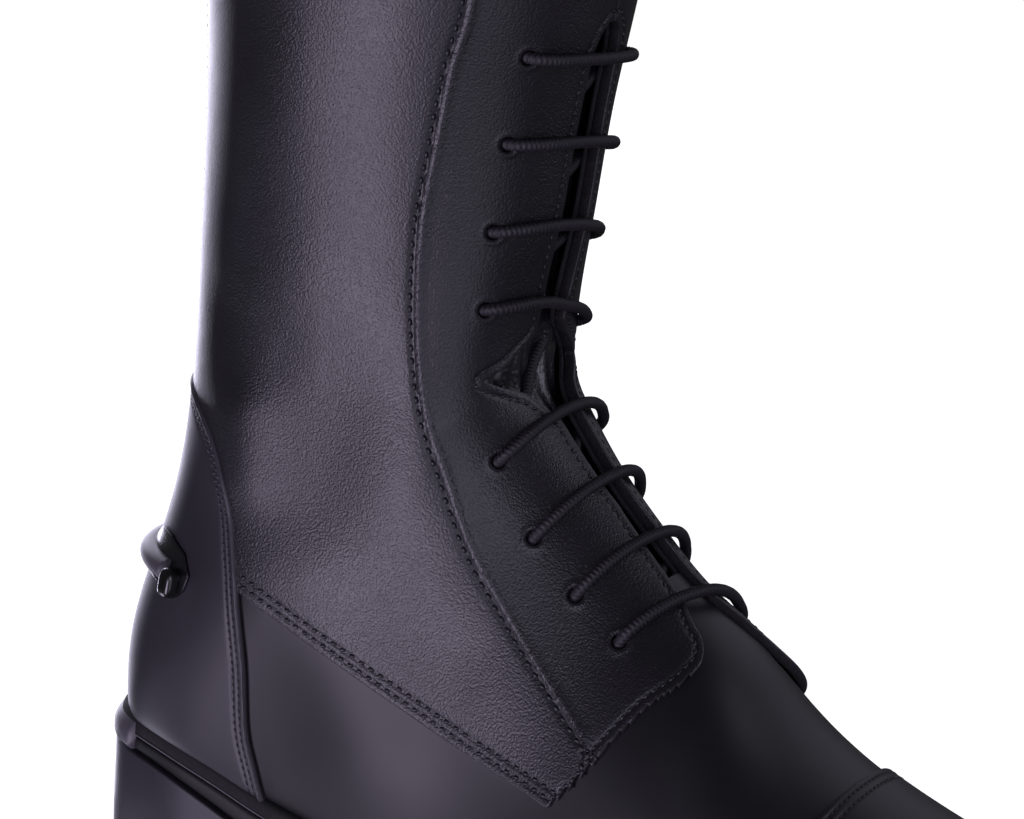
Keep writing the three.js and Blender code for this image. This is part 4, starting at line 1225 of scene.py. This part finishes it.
def make_lace():
    """Round braided elastic: a tube whose radius follows two crossing helices."""
    path = smooth_path(lace_path(), LACE_STEP)
    across, up = carried_frames(path, (0, 0, 1))
    theta = round_angles(LACE_SIDES)[None]
    run = np.arange(len(path))[:, None] * LACE_STEP
    turn = 2 * np.pi * run / BRAID_PITCH
    weave = np.maximum(np.cos(turn + 2 * theta), np.cos(turn - 2 * theta))
    radius = LACE_DIAMETER / 2 * (0.93 + 0.14 * weave)
    rings = path[:, None] + radius[..., None] * (
        np.cos(theta)[..., None] * across[:, None] + np.sin(theta)[..., None] * up[:, None])
    make_piece("braided_lace", *closed_tube(rings), [BRAID], "lace_cord", ["lace"])


make_lace()


# The upper's panels

# Columns of a facing's table after CLIP
SEAM, CUT, HOLE, FLAP = 3, 4, 5, 6
FLAP_CORNER = 7


def facing_fields(side):
    """A facing's edge, then its distances from its turned seam, cut edges, eyelets and flap end."""
    def columns(u, points):
        seam_gap = signed(points, [SEAM_LINE[side]], facing_outline[side])
        flap_gap = signed(points, [FLAP_LINE[side]], facing_outline[side])
        cut_gap = rounded(np.minimum(flap_gap, NEAR), throat_gap(u, points, side), FLAP_CORNER)
        cut_gap = np.minimum(cut_gap, notch_gap(points, [side]))
        above = u > knot_of(THROAT_TOP)
        cut_gap = np.where(above, np.maximum(cut_gap, 0.01), cut_gap)
        hole = hole_gap(points, side)
        edge = np.minimum(np.minimum(cut_gap, seam_gap), hole)
        kept = above | (points[:, 1] * side > 0)
        edge = np.where(kept, edge, np.minimum(edge, -NEAR))
        return edge, seam_gap, cut_gap, hole, np.abs(flap_gap)
    return columns


FACING_ROW = 2.5
FACING_STEP = 1.0
INNER_LIFT = 2.6
LIFT_REACH = 11
UNDER_TOP = -0.85


def flap_lift(table):
    """How far the inner flap's end stands off the vamp."""
    return INNER_LIFT * np.exp(-(table[:, FLAP] / LIFT_REACH) ** 2) * (table[:, TURN] > 0)


def facing_height(table):
    """The facing's top.

    It is puffed along its turned seam, with a soft ridge and small wrinkles, and crisp at cut edges. It has
    a groove for its stitches and a raised ring round each eyelet.
    """
    seam_gap, cut_gap, hole = table[:, SEAM], table[:, CUT], table[:, HOLE]
    wrinkles = 0.1 * np.sin(table[:, PLACE] * 4.4) * np.exp(-((seam_gap - 1.6) / 1.2) ** 2)
    return (FACING_LAYER - puffed(seam_gap, 2.2, 1.0) - crisp(cut_gap) - crisp(hole, 0.35)
            + 0.45 * np.exp(-((seam_gap - 1.8) / 1.3) ** 2) + wrinkles + flap_lift(table)
            - channel(cut_gap, FACING_ROW, 0.3, 0.6) + 0.2 * np.exp(-((hole - 0.8) / 0.45) ** 2))


def make_facing(side, name):
    """The eyelet facing and front flap of one side."""
    patches = [(knot_of(5.7 if side < 0 else 4.9), LAST, *sorted((0.0, side * 1.1)), FACING_STEP)]
    cuts = (edge_cuts(CUT) + row_cuts(CUT, [FACING_ROW]) + [(SEAM, level) for level in (0.3, 0.9, 1.7, 2.6)]
            + [(HOLE, level) for level in (0.12, 0.35, 0.9)])
    sheet = panel(patches, facing_fields(side), cuts, facing_height,
                  lambda table: flap_lift(table) + UNDER_TOP)
    make_panel(name, sheet, [GRAINED, RAW_EDGE], "upper_leather", ["upper"])
    return rows_on(sheet, CUT, FACING_ROW, lambda table, top: table[:, SEAM] > 1.5)


# Columns of a quarter's table after CLIP and SEAM
WING, ZIP, HEEL = 4, 5, 6
WING_ROWS = [2.3, 4.6]
SEAM_ROW = 0.45
ZIP_ROW = 2.2
UNDERLAP = 5


def quarter_fields(side):
    """A quarter's edge, then its distances from the facing seam, the wing seam, the zip and the counter."""
    def columns(u, points):
        seam_gap = -signed(points, [SEAM_LINE[side]], facing_outline[side])
        wing_gap = quarter_gap(points, side)
        y, z = points[:, 1], points[:, 2]
        zip_gap = np.minimum(np.maximum(np.abs(y) - ZIP_WIDTH / 2, ZIP_FOOT - z), NEAR)
        heel_gap = -signed(points, [COUNTER_LINES[SIDES.index(side)]], counter_outline)
        edge = np.min([wing_gap, seam_gap + UNDERLAP, zip_gap, heel_gap + UNDERLAP], axis=0)
        return edge, seam_gap, wing_gap, zip_gap, heel_gap
    return columns


def quarter_height(table):
    """The quarter's top: crisp at its cut edges, pulled down along the facing seam and its stitches."""
    seam_gap, wing_gap, zip_gap = table[:, SEAM], table[:, WING], table[:, ZIP]
    rows = sum(channel(wing_gap, row, 0.25, 0.6) for row in WING_ROWS)
    return (QUARTER_LAYER - crisp(wing_gap) - crisp(zip_gap) - rows - channel(zip_gap, ZIP_ROW, 0.15)
            - channel(seam_gap, 0.0, 0.4, 1.0))


def make_quarter(side, name):
    """The quarter and shaft of one side, from the facing seam back to the zip."""
    patches = [(knot_of(6.6), LAST, *sorted((side * 0.25, side * 2.0)), 1.5)]
    cuts = (edge_cuts(WING) + row_cuts(WING, WING_ROWS) + edge_cuts(ZIP)
            + [(ZIP, ZIP_ROW + k) for k in (-0.6, 0, 0.6)]
            + [(SEAM, level) for level in (-1.0, -0.3, SEAM_ROW, 1.0, 1.8)])
    sheet = panel(patches, quarter_fields(side), cuts, quarter_height, UNDER_TOP)
    make_panel(name, sheet, [GRAINED, RAW_EDGE], "upper_leather", ["upper"])

    def clear(table, top):
        return (table[:, HEEL] > 0.8) & (table[:, SEAM] > 0.8)

    def along_zip(table, top):
        return (table[:, HEEL] > 2) & (top[:, 2] < SHAFT_HEIGHT - 8)
    return (
        [line for row in WING_ROWS for line in rows_on(sheet, WING, row, clear)],
        rows_on(sheet, SEAM, SEAM_ROW, lambda table, top: table[:, WING] > 0.5),
        rows_on(sheet, ZIP, ZIP_ROW, along_zip),
    )


VAMP_UNDERLAP = 8
VAMP_THROAT_HALF = 14
VAMP_THROAT = 7.4


def make_vamp():
    """The vamp, which runs under the quarters, the toe cap and the counter, and ends in the throat."""
    def columns(u, points):
        outer, inner = [quarter_gap(points, side) for side in SIDES]
        covered = np.where(points[:, 1] < 0, outer, inner)
        beside = np.abs(points[:, 1]) > VAMP_THROAT_HALF
        tail = np.where(beside, VAMP_UNDERLAP - covered, NEAR)
        throat = knot_of(VAMP_THROAT) - u + np.where(beside, FAR, 0)
        heel, toe = UNDERLAP - counter_gap(points), UNDERLAP - cap_gap(points)
        return [np.min([tail, heel, toe, throat], axis=0)]
    patches = [(knot_of(2.6), knot_of(12.2), -2.0, 2.0, 1.5)]
    sheet = panel(patches, columns, edge_cuts(CLIP), lambda table: -crisp(table[:, CLIP]), UNDER_TOP)
    make_panel("vamp", sheet, [SHADE_PAINTED_CALF, RAW_EDGE], "upper_leather", ["upper"])


def overlay_height(layer, rows, groove_width, rounding, ridge=0.0):
    """An overlay's top: crisp at its edge with a low ridge along it, and a groove for each row."""
    def height(table):
        gap = table[:, CLIP]
        crown = ridge * np.exp(-((gap - 0.7) / 0.7) ** 2)
        grooves = sum(channel(gap, row, 0.25, groove_width) for row in rows)
        return layer + crown - crisp(gap, rounding) - grooves
    return height


def overlay_lines(sheet, rows, lowest):
    """The stitch lines of an overlay above a height. The rand covers what lies lower."""
    return [line for row in rows for line in rows_on(sheet, CLIP, row, lambda table, top: top[:, 2] > lowest)]


COUNTER_ROWS = [2.2, 3.8]
OVERLAY_STEP = 1.3
OVERLAY_UNDER = -0.4


def make_counter():
    """The heel counter, moulded in one piece round the back."""
    patches = [(knot_of(8.2), knot_of(14.3), *w, OVERLAY_STEP) for w in ((-2.0, -0.8), (0.8, 2.0))]
    height = overlay_height(COUNTER_LAYER, COUNTER_ROWS, 0.5, 0.8, ridge=0.5)
    sheet = panel(patches, lambda u, points: [counter_gap(points)],
                  edge_cuts(CLIP) + row_cuts(CLIP, COUNTER_ROWS), height, OVERLAY_UNDER)
    make_panel("counter", sheet, [SHEEN_PAINTED_CALF, RAW_EDGE], "smooth_leather", ["heel_counter"])
    return overlay_lines(sheet, COUNTER_ROWS, 10)


CAP_ROWS = [1.7, 3.9]


def make_cap():
    """The toe cap, closed over the toe's tip."""
    patches = [(0, knot_of(5.2), -2.0, 2.0, OVERLAY_STEP)]
    height = overlay_height(CAP_LAYER, CAP_ROWS, 0.55, 0.6)
    sheet = panel(patches, lambda u, points: [cap_gap(points)],
                  edge_cuts(CLIP) + row_cuts(CLIP, CAP_ROWS), height, OVERLAY_UNDER)
    make_panel("cap", sheet, [SHADE_PAINTED_CALF, RAW_EDGE], "smooth_leather", ["toe_cap"])
    return overlay_lines(sheet, CAP_ROWS, 5)


def make_lining():
    """The leather lining inside the whole upper, open at the throat."""
    def columns(u, points):
        outer, inner = [throat_gap(u, points, side, LINING_OPENS) for side in SIDES]
        return [np.minimum(np.where(points[:, 1] < 0, outer, inner), notch_gap(points, SIDES))]
    patches = [(0, LAST, -2.0, 2.0, 4.0)]
    sheet = panel(patches, columns, [], lambda table: np.full(len(table), -0.9), -WALL)
    make_panel("inner_lining", sheet, [LINING, RAW_EDGE], "lining", ["upper"])


TONGUE_HALF = 29
TONGUE_CORNER = 9
TONGUE_TOP = -4.5
TONGUE_UNDER = -6.0
GUSSET_BEND = 11.4
GUSSET_BULGE = 3.2


def make_tongue():
    """The tongue and its gusset behind the throat, in soft crinkled leather that bulges at the ankle bend."""
    def columns(u, points):
        first, last = [knot_of(section) for section in TONGUE_SECTIONS]
        return [rounded(TONGUE_HALF - np.abs(points[:, 1]), np.minimum(u - first, last - u), TONGUE_CORNER)]

    def height(table):
        u, w = table[:, 0], table[:, 1]
        folds = np.sin(w * 60 + 2.5 * np.sin(u / 9)) * 0.35 + np.sin(u / 2.7 + 8 * w) * 0.18
        breadth = np.abs(surface(u, w)[:, 1])
        bend = np.exp(-((u - knot_of(GUSSET_BEND)) / 13) ** 2) * np.exp(-((breadth - 11) / 7) ** 2)
        return TONGUE_TOP + folds + GUSSET_BULGE * bend
    patches = [(knot_of(6.2), knot_of(14.9), -0.75, 0.75, 1.1)]
    sheet = panel(patches, columns, [], height, TONGUE_UNDER)
    make_panel("tongue_and_gusset", sheet, [GUSSET, RAW_EDGE], "upper_leather", ["tongue"])


wing_lines, seam_lines, zip_lines, facing_lines = [], [], [], []
for side, word in zip(SIDES, ("outer", "inner")):
    facing_lines += make_facing(side, f"facing_{word}")
    found = make_quarter(side, f"quarter_{word}")
    wing_lines += found[0]
    seam_lines += found[1]
    zip_lines += found[2]
make_vamp()
counter_lines = make_counter()
cap_lines = make_cap()
make_lining()
make_tongue()
sew("facing_stitches", facing_lines, pitch=2.6, thickness=0.85)
sew("seam_stitches", seam_lines, pitch=3.3, thickness=1.0, slant=0.2)
sew("wing_stitches", wing_lines, pitch=3.0, thickness=0.95, slant=0.16)
sew("zip_stitches", zip_lines, pitch=2.7)
sew("counter_stitches", counter_lines, pitch=2.1, thickness=0.55)
sew("cap_stitches", cap_lines, pitch=2.3, thickness=0.6)


# Collar, zip, spur rest and back tab

def rounded_rectangle(low, high, radius, steps=4):
    """A closed profile: a rectangle between two corners, with quarter circles at its corners."""
    (x0, y0), (x1, y1) = low, high
    centres = [(x1 - radius, y1 - radius), (x0 + radius, y1 - radius), (x0 + radius, y0 + radius),
               (x1 - radius, y0 + radius)]
    angles = [np.linspace(k, k + 1, steps + 1) * np.pi / 2 for k in range(4)]
    return np.vstack([np.column_stack([cx + radius * np.cos(a), cy + radius * np.sin(a)])
                      for (cx, cy), a in zip(centres, angles)])


BINDING_DROP = 8


def make_binding():
    """The turned leather binding round the collar, open at the zip, and its row of stitches."""
    w = np.linspace(-1.9, 1.9, 320)
    path = surface(np.full_like(w, LAST), w)
    off = off_surface(np.full_like(w, LAST), w) * [1, 1, 0]
    up = np.tile([0.0, 0.0, 1.0], (len(w), 1))
    profile = rounded_rectangle((-WALL - 0.7, -BINDING_DROP), (FACING_LAYER + 0.7, 0.1), 1.4)
    make_piece("collar_binding", *swept(path, unit(off), up, profile), [GRAINED], "upper_leather", ["upper"])
    row = path + unit(off) * (FACING_LAYER + 0.62) - up * (BINDING_DROP - 1.6)
    sew("collar_stitches", [(row, unit(off))], pitch=2.7)


# How far the zip's teeth stand off the back edge: low at the zip's foot, and proud of it above a height
TOOTH_LOW = 0.7
TOOTH_PROUD = 1.9
RAISED_FROM = 207
TOOTH_PITCH = 1.35
TOOTH_STAGGER = 0.55


def make_zip():
    """The zip down the back: a woven tape, and a coil of nylon teeth from alternate sides."""
    def columns(u, points):
        return [np.minimum(ZIP_WIDTH / 2 + 1.5 - np.abs(points[:, 1]), points[:, 2] - ZIP_FOOT + 1.5)]
    patches = [(knot_of(12.5), LAST, *w, 2.2) for w in ((-2.0, -1.7), (1.7, 2.0))]
    sheet = panel(patches, columns, [], lambda table: np.full(len(table), 0.25), UNDER_TOP)
    make_panel("zip_tape", sheet, [TAPE, TAPE], "zip_tape", ["back_zip"])
    z = np.arange(ZIP_FOOT + 1.5, SHAFT_HEIGHT - 2, TOOTH_PITCH)
    u, s = find(np.column_stack([back_x(z) + 0.02, z]))
    centre = surface_at(u, s, np.full(len(u), 1.0)) * [1, 0, 1]
    off = unit(off_surface(u, np.full(len(u), 2.0)) * [1, 0, 1])
    along = unit(np.gradient(centre, axis=0))
    across = np.cross(off, along)
    shape, shape_faces = pill(3.4, 0.62, sink=0.2)
    side = np.where(np.arange(len(u)) % 2, TOOTH_STAGGER, -TOOTH_STAGGER)[:, None]
    proud = np.where(centre[:, 2] > RAISED_FROM, TOOTH_PROUD, TOOTH_LOW)[:, None]
    teeth = stamped(shape, shape_faces, centre + off * proud + across * side, across, off)
    make_piece("zip_coil", *teeth, [COIL], "zip_tape", ["back_zip"])


TAB_ROW = 1.8
# The snap head, turned about its own axis. Columns: radius, height off the tab
SNAP_PROFILE = [
    [0, -0.4], [4.2, -0.3], [4.4, 0.2], [4.0, 0.7], [3.2, 0.8], [3.0, 0.6], [1.8, 0.95], [0.05, 1.05]]


def make_snap_tab():
    """The small leather tab that closes over the top of the zip, with its snap."""
    level, half_y, half_z = SHAFT_HEIGHT - 19, 17, 7

    def columns(u, points):
        return [box_distance(points[:, 1], points[:, 2] - level, half_y, half_z, 6)]
    patches = [(knot_of(17.5), LAST, *w, 1.0) for w in ((-2.0, -1.6), (1.6, 2.0))]

    def height(table):
        return 3.2 - crisp(table[:, CLIP]) - channel(table[:, CLIP], TAB_ROW)
    sheet = panel(patches, columns, edge_cuts(CLIP) + row_cuts(CLIP, [TAB_ROW]), height, 1.35)
    make_panel("snap_tab", sheet, [GRAINED, RAW_EDGE], "upper_leather", ["back_zip"])
    sew("snap_tab_stitches", overlay_lines(sheet, [TAB_ROW], 0), pitch=2.6)
    near = np.abs(sheet["top"] - [0, -11, level])[:, 1:].sum(axis=1) + 100 * (sheet["table"][:, 1] > 0)
    i = near.argmin()
    theta = round_angles(24)[:, None]
    off = sheet["off"][i]
    across = unit(np.cross([0, 0, 1], off))
    up = np.cross(off, across)
    rings = sheet["top"][i] + np.stack([
        r * (np.cos(theta) * across + np.sin(theta) * up) + h * off for r, h in SNAP_PROFILE])
    make_piece("snap_head", *closed_tube(rings), [SLIDER], "zip_tape", ["back_zip"])


def level_path(z, x_end, steps):
    """A line round the back at one height, from x_end on the outer side to x_end on the inner side."""
    x = back_x(z) + (x_end - back_x(z)) * np.linspace(0, 1, steps) ** 2
    u, s = find(np.column_stack([x, np.full(steps, z)]))
    w = turn_of(s)
    u = np.concatenate([u[::-1], u[1:]])
    w = np.concatenate([-w[::-1], w[1:]])
    return surface(u, w), off_surface(u, w)


# The outline of a spur rest's pad in the side view, in millimetres
PAD_OUTLINE = np.array([
    [8, 96], [15, 98], [23, 98], [30, 95.5], [33, 90.5], [31.5, 86], [28, 83.2], [22, 84], [8, 86], [8, 96]])


def make_spur_rest():
    """The spur rest: a leather-covered half-round bar round the back, with moulded ends on thin pads."""
    x_end, z = placed([SPUR_REST_END])[0]
    path, off = level_path(z - 1, x_end - 3.6, 60)
    along = unit(np.gradient(path, axis=0))
    up = np.cross(off, along)
    theta = np.linspace(0, np.pi, 15)
    half = SPUR_REST_HEIGHT / 2
    crown = (SPUR_REST_REACH + 1.6) * np.sin(theta) ** 0.9
    curve = np.column_stack([half * np.cos(theta), COUNTER_LAYER - 0.6 + crown])
    make_piece("spur_rest_bar", *swept(path, up, off, curve), [SHEEN_PAINTED_CALF], "smooth_leather", ["spur_rest"])
    for side, word in zip(SIDES, ("outer", "inner")):
        edge_line = traced(PAD_OUTLINE, side)
        patches = [(knot_of(10.4), knot_of(12.6), *sorted((side * 1.3, side * 2.0)), 0.7)]
        sheet = panel(patches, lambda u, points: [signed(points, [edge_line], PAD_OUTLINE[:-1])],
                      edge_cuts(CLIP), overlay_height(COUNTER_LAYER + 0.7, [], 0.5, 0.5), 2.2)
        make_panel(f"spur_rest_pad_{word}", sheet, [MOULDED_BLACK, SLIDER], "smooth_leather", ["spur_rest"])
        u, s = find(np.array([[x_end - 0.8, z - 3.2]]))
        centre, out = surface(u, side * turn_of(s)), off_surface(u, side * turn_of(s))
        block = superellipsoid(3.0, 4.1, 2.6)
        ahead = unit(np.cross([0, 0, 1.0], out))
        end = stamped(*block, centre + out * (COUNTER_LAYER + 1.9), ahead, out)
        make_piece(f"spur_rest_end_{word}", *end, [MOULDED_BLACK], "smooth_leather", ["spur_rest"])


def superellipsoid(a, b, c, power=0.6, rings=12, sides=20):
    """A rounded block: x, y and z follow sines and cosines of two angles, each raised to a power."""
    lat = np.linspace(-np.pi / 2, np.pi / 2, rings + 1)[:, None]
    lon = round_angles(sides)[None]

    def bent(v):
        return np.sign(v) * np.abs(v) ** power
    x = a * bent(np.cos(lat)) * bent(np.cos(lon))
    y = b * bent(np.cos(lat)) * bent(np.sin(lon))
    z = c * bent(np.sin(lat)) + 0 * lon
    points = np.stack([x, y, z], axis=-1).reshape(-1, 3)
    return points, outward(points, triangles(tube_faces(rings + 1, sides)))


def make_back_tab():
    """The small dark tab on the back of the counter."""
    level = placed([BACK_TAB])[0][1]

    def columns(u, points):
        return [box_distance(points[:, 1], points[:, 2] - level, ZIP_WIDTH / 3, 6.2, 2.5)]
    patches = [(knot_of(11.0), knot_of(12.4), *w, 0.8) for w in ((-2.0, -1.6), (1.6, 2.0))]
    height = overlay_height(COUNTER_LAYER + QUARTER_LAYER, [], 0.5, 0.5)
    sheet = panel(patches, columns, edge_cuts(CLIP), height, 2.2)
    make_panel("heel_back_tab", sheet, [GRAINED, RAW_EDGE], "smooth_leather", ["back_tab"])


make_binding()
make_zip()
make_snap_tab()
make_spur_rest()
make_back_tab()


# Rand, outsole and heel: rings of the sole's outline, each with its own reach and height

def sole_ends(count):
    """The sole line's outer and inner points, close together at the toe and the heel."""
    u = CORNER * (1 - np.cos(np.pi * np.arange(count + 1) / count)) / 2
    two = np.full(count + 1, 2.0)
    return surface_at(u, two, np.full(count + 1, -1.0)), surface_at(u, two, np.full(count + 1, 1.0))


OUTLINE_STEPS = 130
OUTER_LINE, INNER_LINE = sole_ends(OUTLINE_STEPS)


def sole_ring(heel_reach, toe_reach, height, ledge=LEDGE_REACH):
    """The sole's outline moved outwards in plan by a reach that grows to the toe, at a height over x."""
    loop = np.vstack([OUTER_LINE, INNER_LINE[-2:0:-1]])[:, :2]
    along = unit(np.roll(loop, -1, axis=0) - np.roll(loop, 1, axis=0))
    back = ledge * (1 - passed(LEDGE_END, loop[:, 0]))
    reach = back + heel_reach + (toe_reach - heel_reach) * smooth_step(loop[:, 0] / FOOT_LENGTH)
    moved = loop + np.column_stack([-along[:, 1], along[:, 0]]) * reach[:, None]
    return np.column_stack([moved, height(moved[:, 0])])


def ladder(count, base, flip):
    """Rungs across a ring, from each outer point to the inner point at the same place."""
    total = 2 * count
    i = np.arange(count)
    a, b = i, i + 1
    c, d = (total - i - 1) % total, (total - i) % total
    quads = np.column_stack([a, b, c, d]) + base
    return triangles(quads[:, ::-1] if flip else quads)


def sole_plate(rings):
    """A plate of rings from its top to its underside, closed across by rungs."""
    count = len(rings[0])
    points = np.vstack(rings)
    faces = np.vstack([triangles(tube_faces(len(rings), count)), ladder(OUTLINE_STEPS, 0, True),
                       ladder(OUTLINE_STEPS, (len(rings) - 1) * count, False)])
    a, b, c = faces.T
    faces = faces[(a != b) & (b != c) & (c != a)]
    return points, outward(points, faces)


def feather_less(drop):
    """Height of a level that lies a drop below the sole line."""
    return lambda x: feather_z(x) - drop


# The share of the welt's reach that the rand and the outsole keep at the heel, under the heel lip
INSET_SHARE = 0.7
# The rand and the heel lip in cross-section. Columns: reach beyond the sole line, drop below it
RAND_PROFILE = [
    (-2.5, 4.5), (-2.5, -0.6), (0.2, -0.6), (1.6, -0.3), (2.6, 0.3), (3.0, 1.2),
    (3.1, 2.4), (3.1, 3.4), (2.9, 3.8), (3.3, 4.0), (3.3, 4.35), (2.8, 4.5),
]
HIGHLIGHT_RING = 9
LIP_PROFILE = [
    (-3, -0.8), (-1.8, -1.2), (0.4, -0.2), (2.2, 1.2), (3.4, 2.9),
    (4.0, 4.6), (4.0, 6.9), (3.7, 7.9), (3.0, 8.5), (-3, 8.5),
]
LIP_HALF = 24


def make_welt():
    """The rubber rand round the upper's lower edge: a rounded strip whose small lip is painted pale as a
    highlight.
    """
    grown = WELT_TOE_REACH / WELT_REACH
    rings = []
    for reach, drop in RAND_PROFILE:
        heel_share, toe_share = (INSET_SHARE, grown) if reach > 0 else (1, 1)
        rings.append(sole_ring(reach * heel_share, reach * toe_share, feather_less(drop)))
    points = np.vstack(rings)
    faces = triangles(tube_faces(len(rings), len(rings[0]), closed=True))
    ring_of = np.tile(np.repeat(np.arange(len(rings)), len(rings[0])), 2)
    make_piece("rand", points, outward(points, faces), [RAND, RAND_LIP_HIGHLIGHT], "welt", ["welt"],
               parts=ring_of == HIGHLIGHT_RING)


def make_heel_lip():
    """The rounded lip round the very back, over the rand, in the counter's leather with its painted sheen."""
    rings = [sole_ring(reach, reach, feather_less(drop)) for reach, drop in LIP_PROFILE]
    breadths = np.abs(rings[0][:, 1])
    back = np.flatnonzero((breadths < LIP_HALF) & (rings[0][:, 0] < 2 * LIP_HALF))
    ribs = np.stack([ring[back] for ring in rings], axis=1)
    make_piece("heel_lip", *closed_tube(ribs), [SHEEN_PAINTED_CALF], "smooth_leather", ["welt"])


OUTSOLE_TOP = WELT_THICKNESS + 2 * GAP
# The outsole's edge. Columns: step in from the rand's reach, share of the thickness below the top
OUTSOLE_EDGE = [(-1.4, 0), (-0.5, 0.07), (-0.3, 0.25), (-0.3, 0.75), (-0.6, 0.9), (-1.2, 0.98), (-2.5, 1.0)]


def outsole_level(share):
    """Height of a level that lies a share of the outsole's thickness below its top."""
    def level(x):
        thickness = SEAT_OUTSOLE + (OUTSOLE_THICKNESS - SEAT_OUTSOLE) * passed(SEAT_SLOPE, x)
        return feather_z(x) - OUTSOLE_TOP - share * thickness
    return level


def make_outsole():
    """The outsole, with softened edges."""
    rings = [sole_ring(WELT_REACH * INSET_SHARE + step, WELT_TOE_REACH + step, outsole_level(share))
             for step, share in OUTSOLE_EDGE]
    make_piece("outsole_plate", *sole_plate(rings), [SOLE_RUBBER], "sole_rubber", ["outsole"])


BREAST_LEAN = 0.14
BREAST_HOLLOW = 2.2


def heel_ring(reach, height, breast):
    """The heel's outline at a reach: the sole's outline back of the breast, closed by a shallow curve."""
    ring = sole_ring(reach, WELT_TOE_REACH, lambda x: 0 * x)[:, :2]
    outer, inner = ring[:OUTLINE_STEPS + 1], np.vstack([ring[:1], ring[OUTLINE_STEPS:][::-1]])
    x = breast + (outer[-1, 0] - breast) * np.sin(np.linspace(0, np.pi / 2, 90))
    outer_y, inner_y = [np.interp(x, line[::-1, 0], line[::-1, 1]) for line in (outer, inner)]
    share = np.linspace(0, 1, 14)[1:-1]
    across = np.column_stack([breast - BREAST_HOLLOW * np.sin(np.pi * share),
                              inner_y[0] + (outer_y[0] - inner_y[0]) * share])
    loop = np.vstack([np.column_stack([x, outer_y]), np.column_stack([x, inner_y])[-2::-1], across])
    return np.column_stack([loop, height(loop[:, 0])])


def heel_piece(name, levels, material, slot, node):
    """A heel layer of rings from its top down, closed by fans from the middle of each end."""
    rings = [heel_ring(reach, height, breast) for reach, height, breast in levels]
    count = len(rings[0])
    middle = [ring.mean(axis=0) for ring in (rings[0], rings[-1])]
    points = np.vstack(rings + [middle[0][None], middle[1][None]])
    j = np.arange(count)
    k = (j + 1) % count
    last = (len(rings) - 1) * count
    top = len(points) - 2
    faces = np.vstack([triangles(tube_faces(len(rings), count)),
                       np.column_stack([np.full(count, top), k, j]),
                       np.column_stack([np.full(count, top + 1), last + j, last + k])])
    make_piece(name, points, outward(points, faces), [material], slot, [node])


def make_heel():
    """The heel block and its rubber top piece, each from its top down."""
    def side_reach(z):
        return WELT_REACH - HEEL_TAPER * (1 - z / HEEL_HEIGHT)

    def breast(z):
        return HEEL_LENGTH + BREAST_LEAN * z

    def flat(z):
        return lambda x: np.full(len(x), float(z))

    def under_sole(drop):
        return lambda x: outsole_level(1)(x) - drop
    seat, joint = HEEL_HEIGHT, TOP_PIECE_HEIGHT
    block = [
        (side_reach(seat) - 0.6, under_sole(GAP), breast(seat)),
        (side_reach(seat) - 0.15, under_sole(GAP + 0.15), breast(seat)),
        (side_reach(seat), under_sole(GAP + 0.6), breast(seat)),
        (side_reach(16), flat(16), breast(16)),
        (side_reach(9), flat(9), breast(9)),
        (side_reach(joint + 1), flat(joint + 0.9), breast(joint + 1)),
        (side_reach(joint) - 0.4, flat(joint + 0.35), breast(joint + GAP)),
    ]
    heel_piece("heel_stack", block, HEEL_STACK_PAINTED_LIGHT, "heel_stack", "heel_block")
    top = [
        (side_reach(joint) - 0.4, flat(joint), breast(joint)),
        (side_reach(joint), flat(joint - 0.5), breast(joint)),
        (side_reach(3), flat(3), breast(3)),
        (side_reach(1), flat(0.6), breast(1)),
        (side_reach(0) - 0.6, flat(0), breast(0)),
    ]
    heel_piece("heel_top", top, TREAD, "sole_rubber", "heel_top_piece")


make_welt()
make_heel_lip()
make_outsole()
make_heel()
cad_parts["insole"].data.materials.clear()
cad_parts["insole"].data.materials.append(LINING)
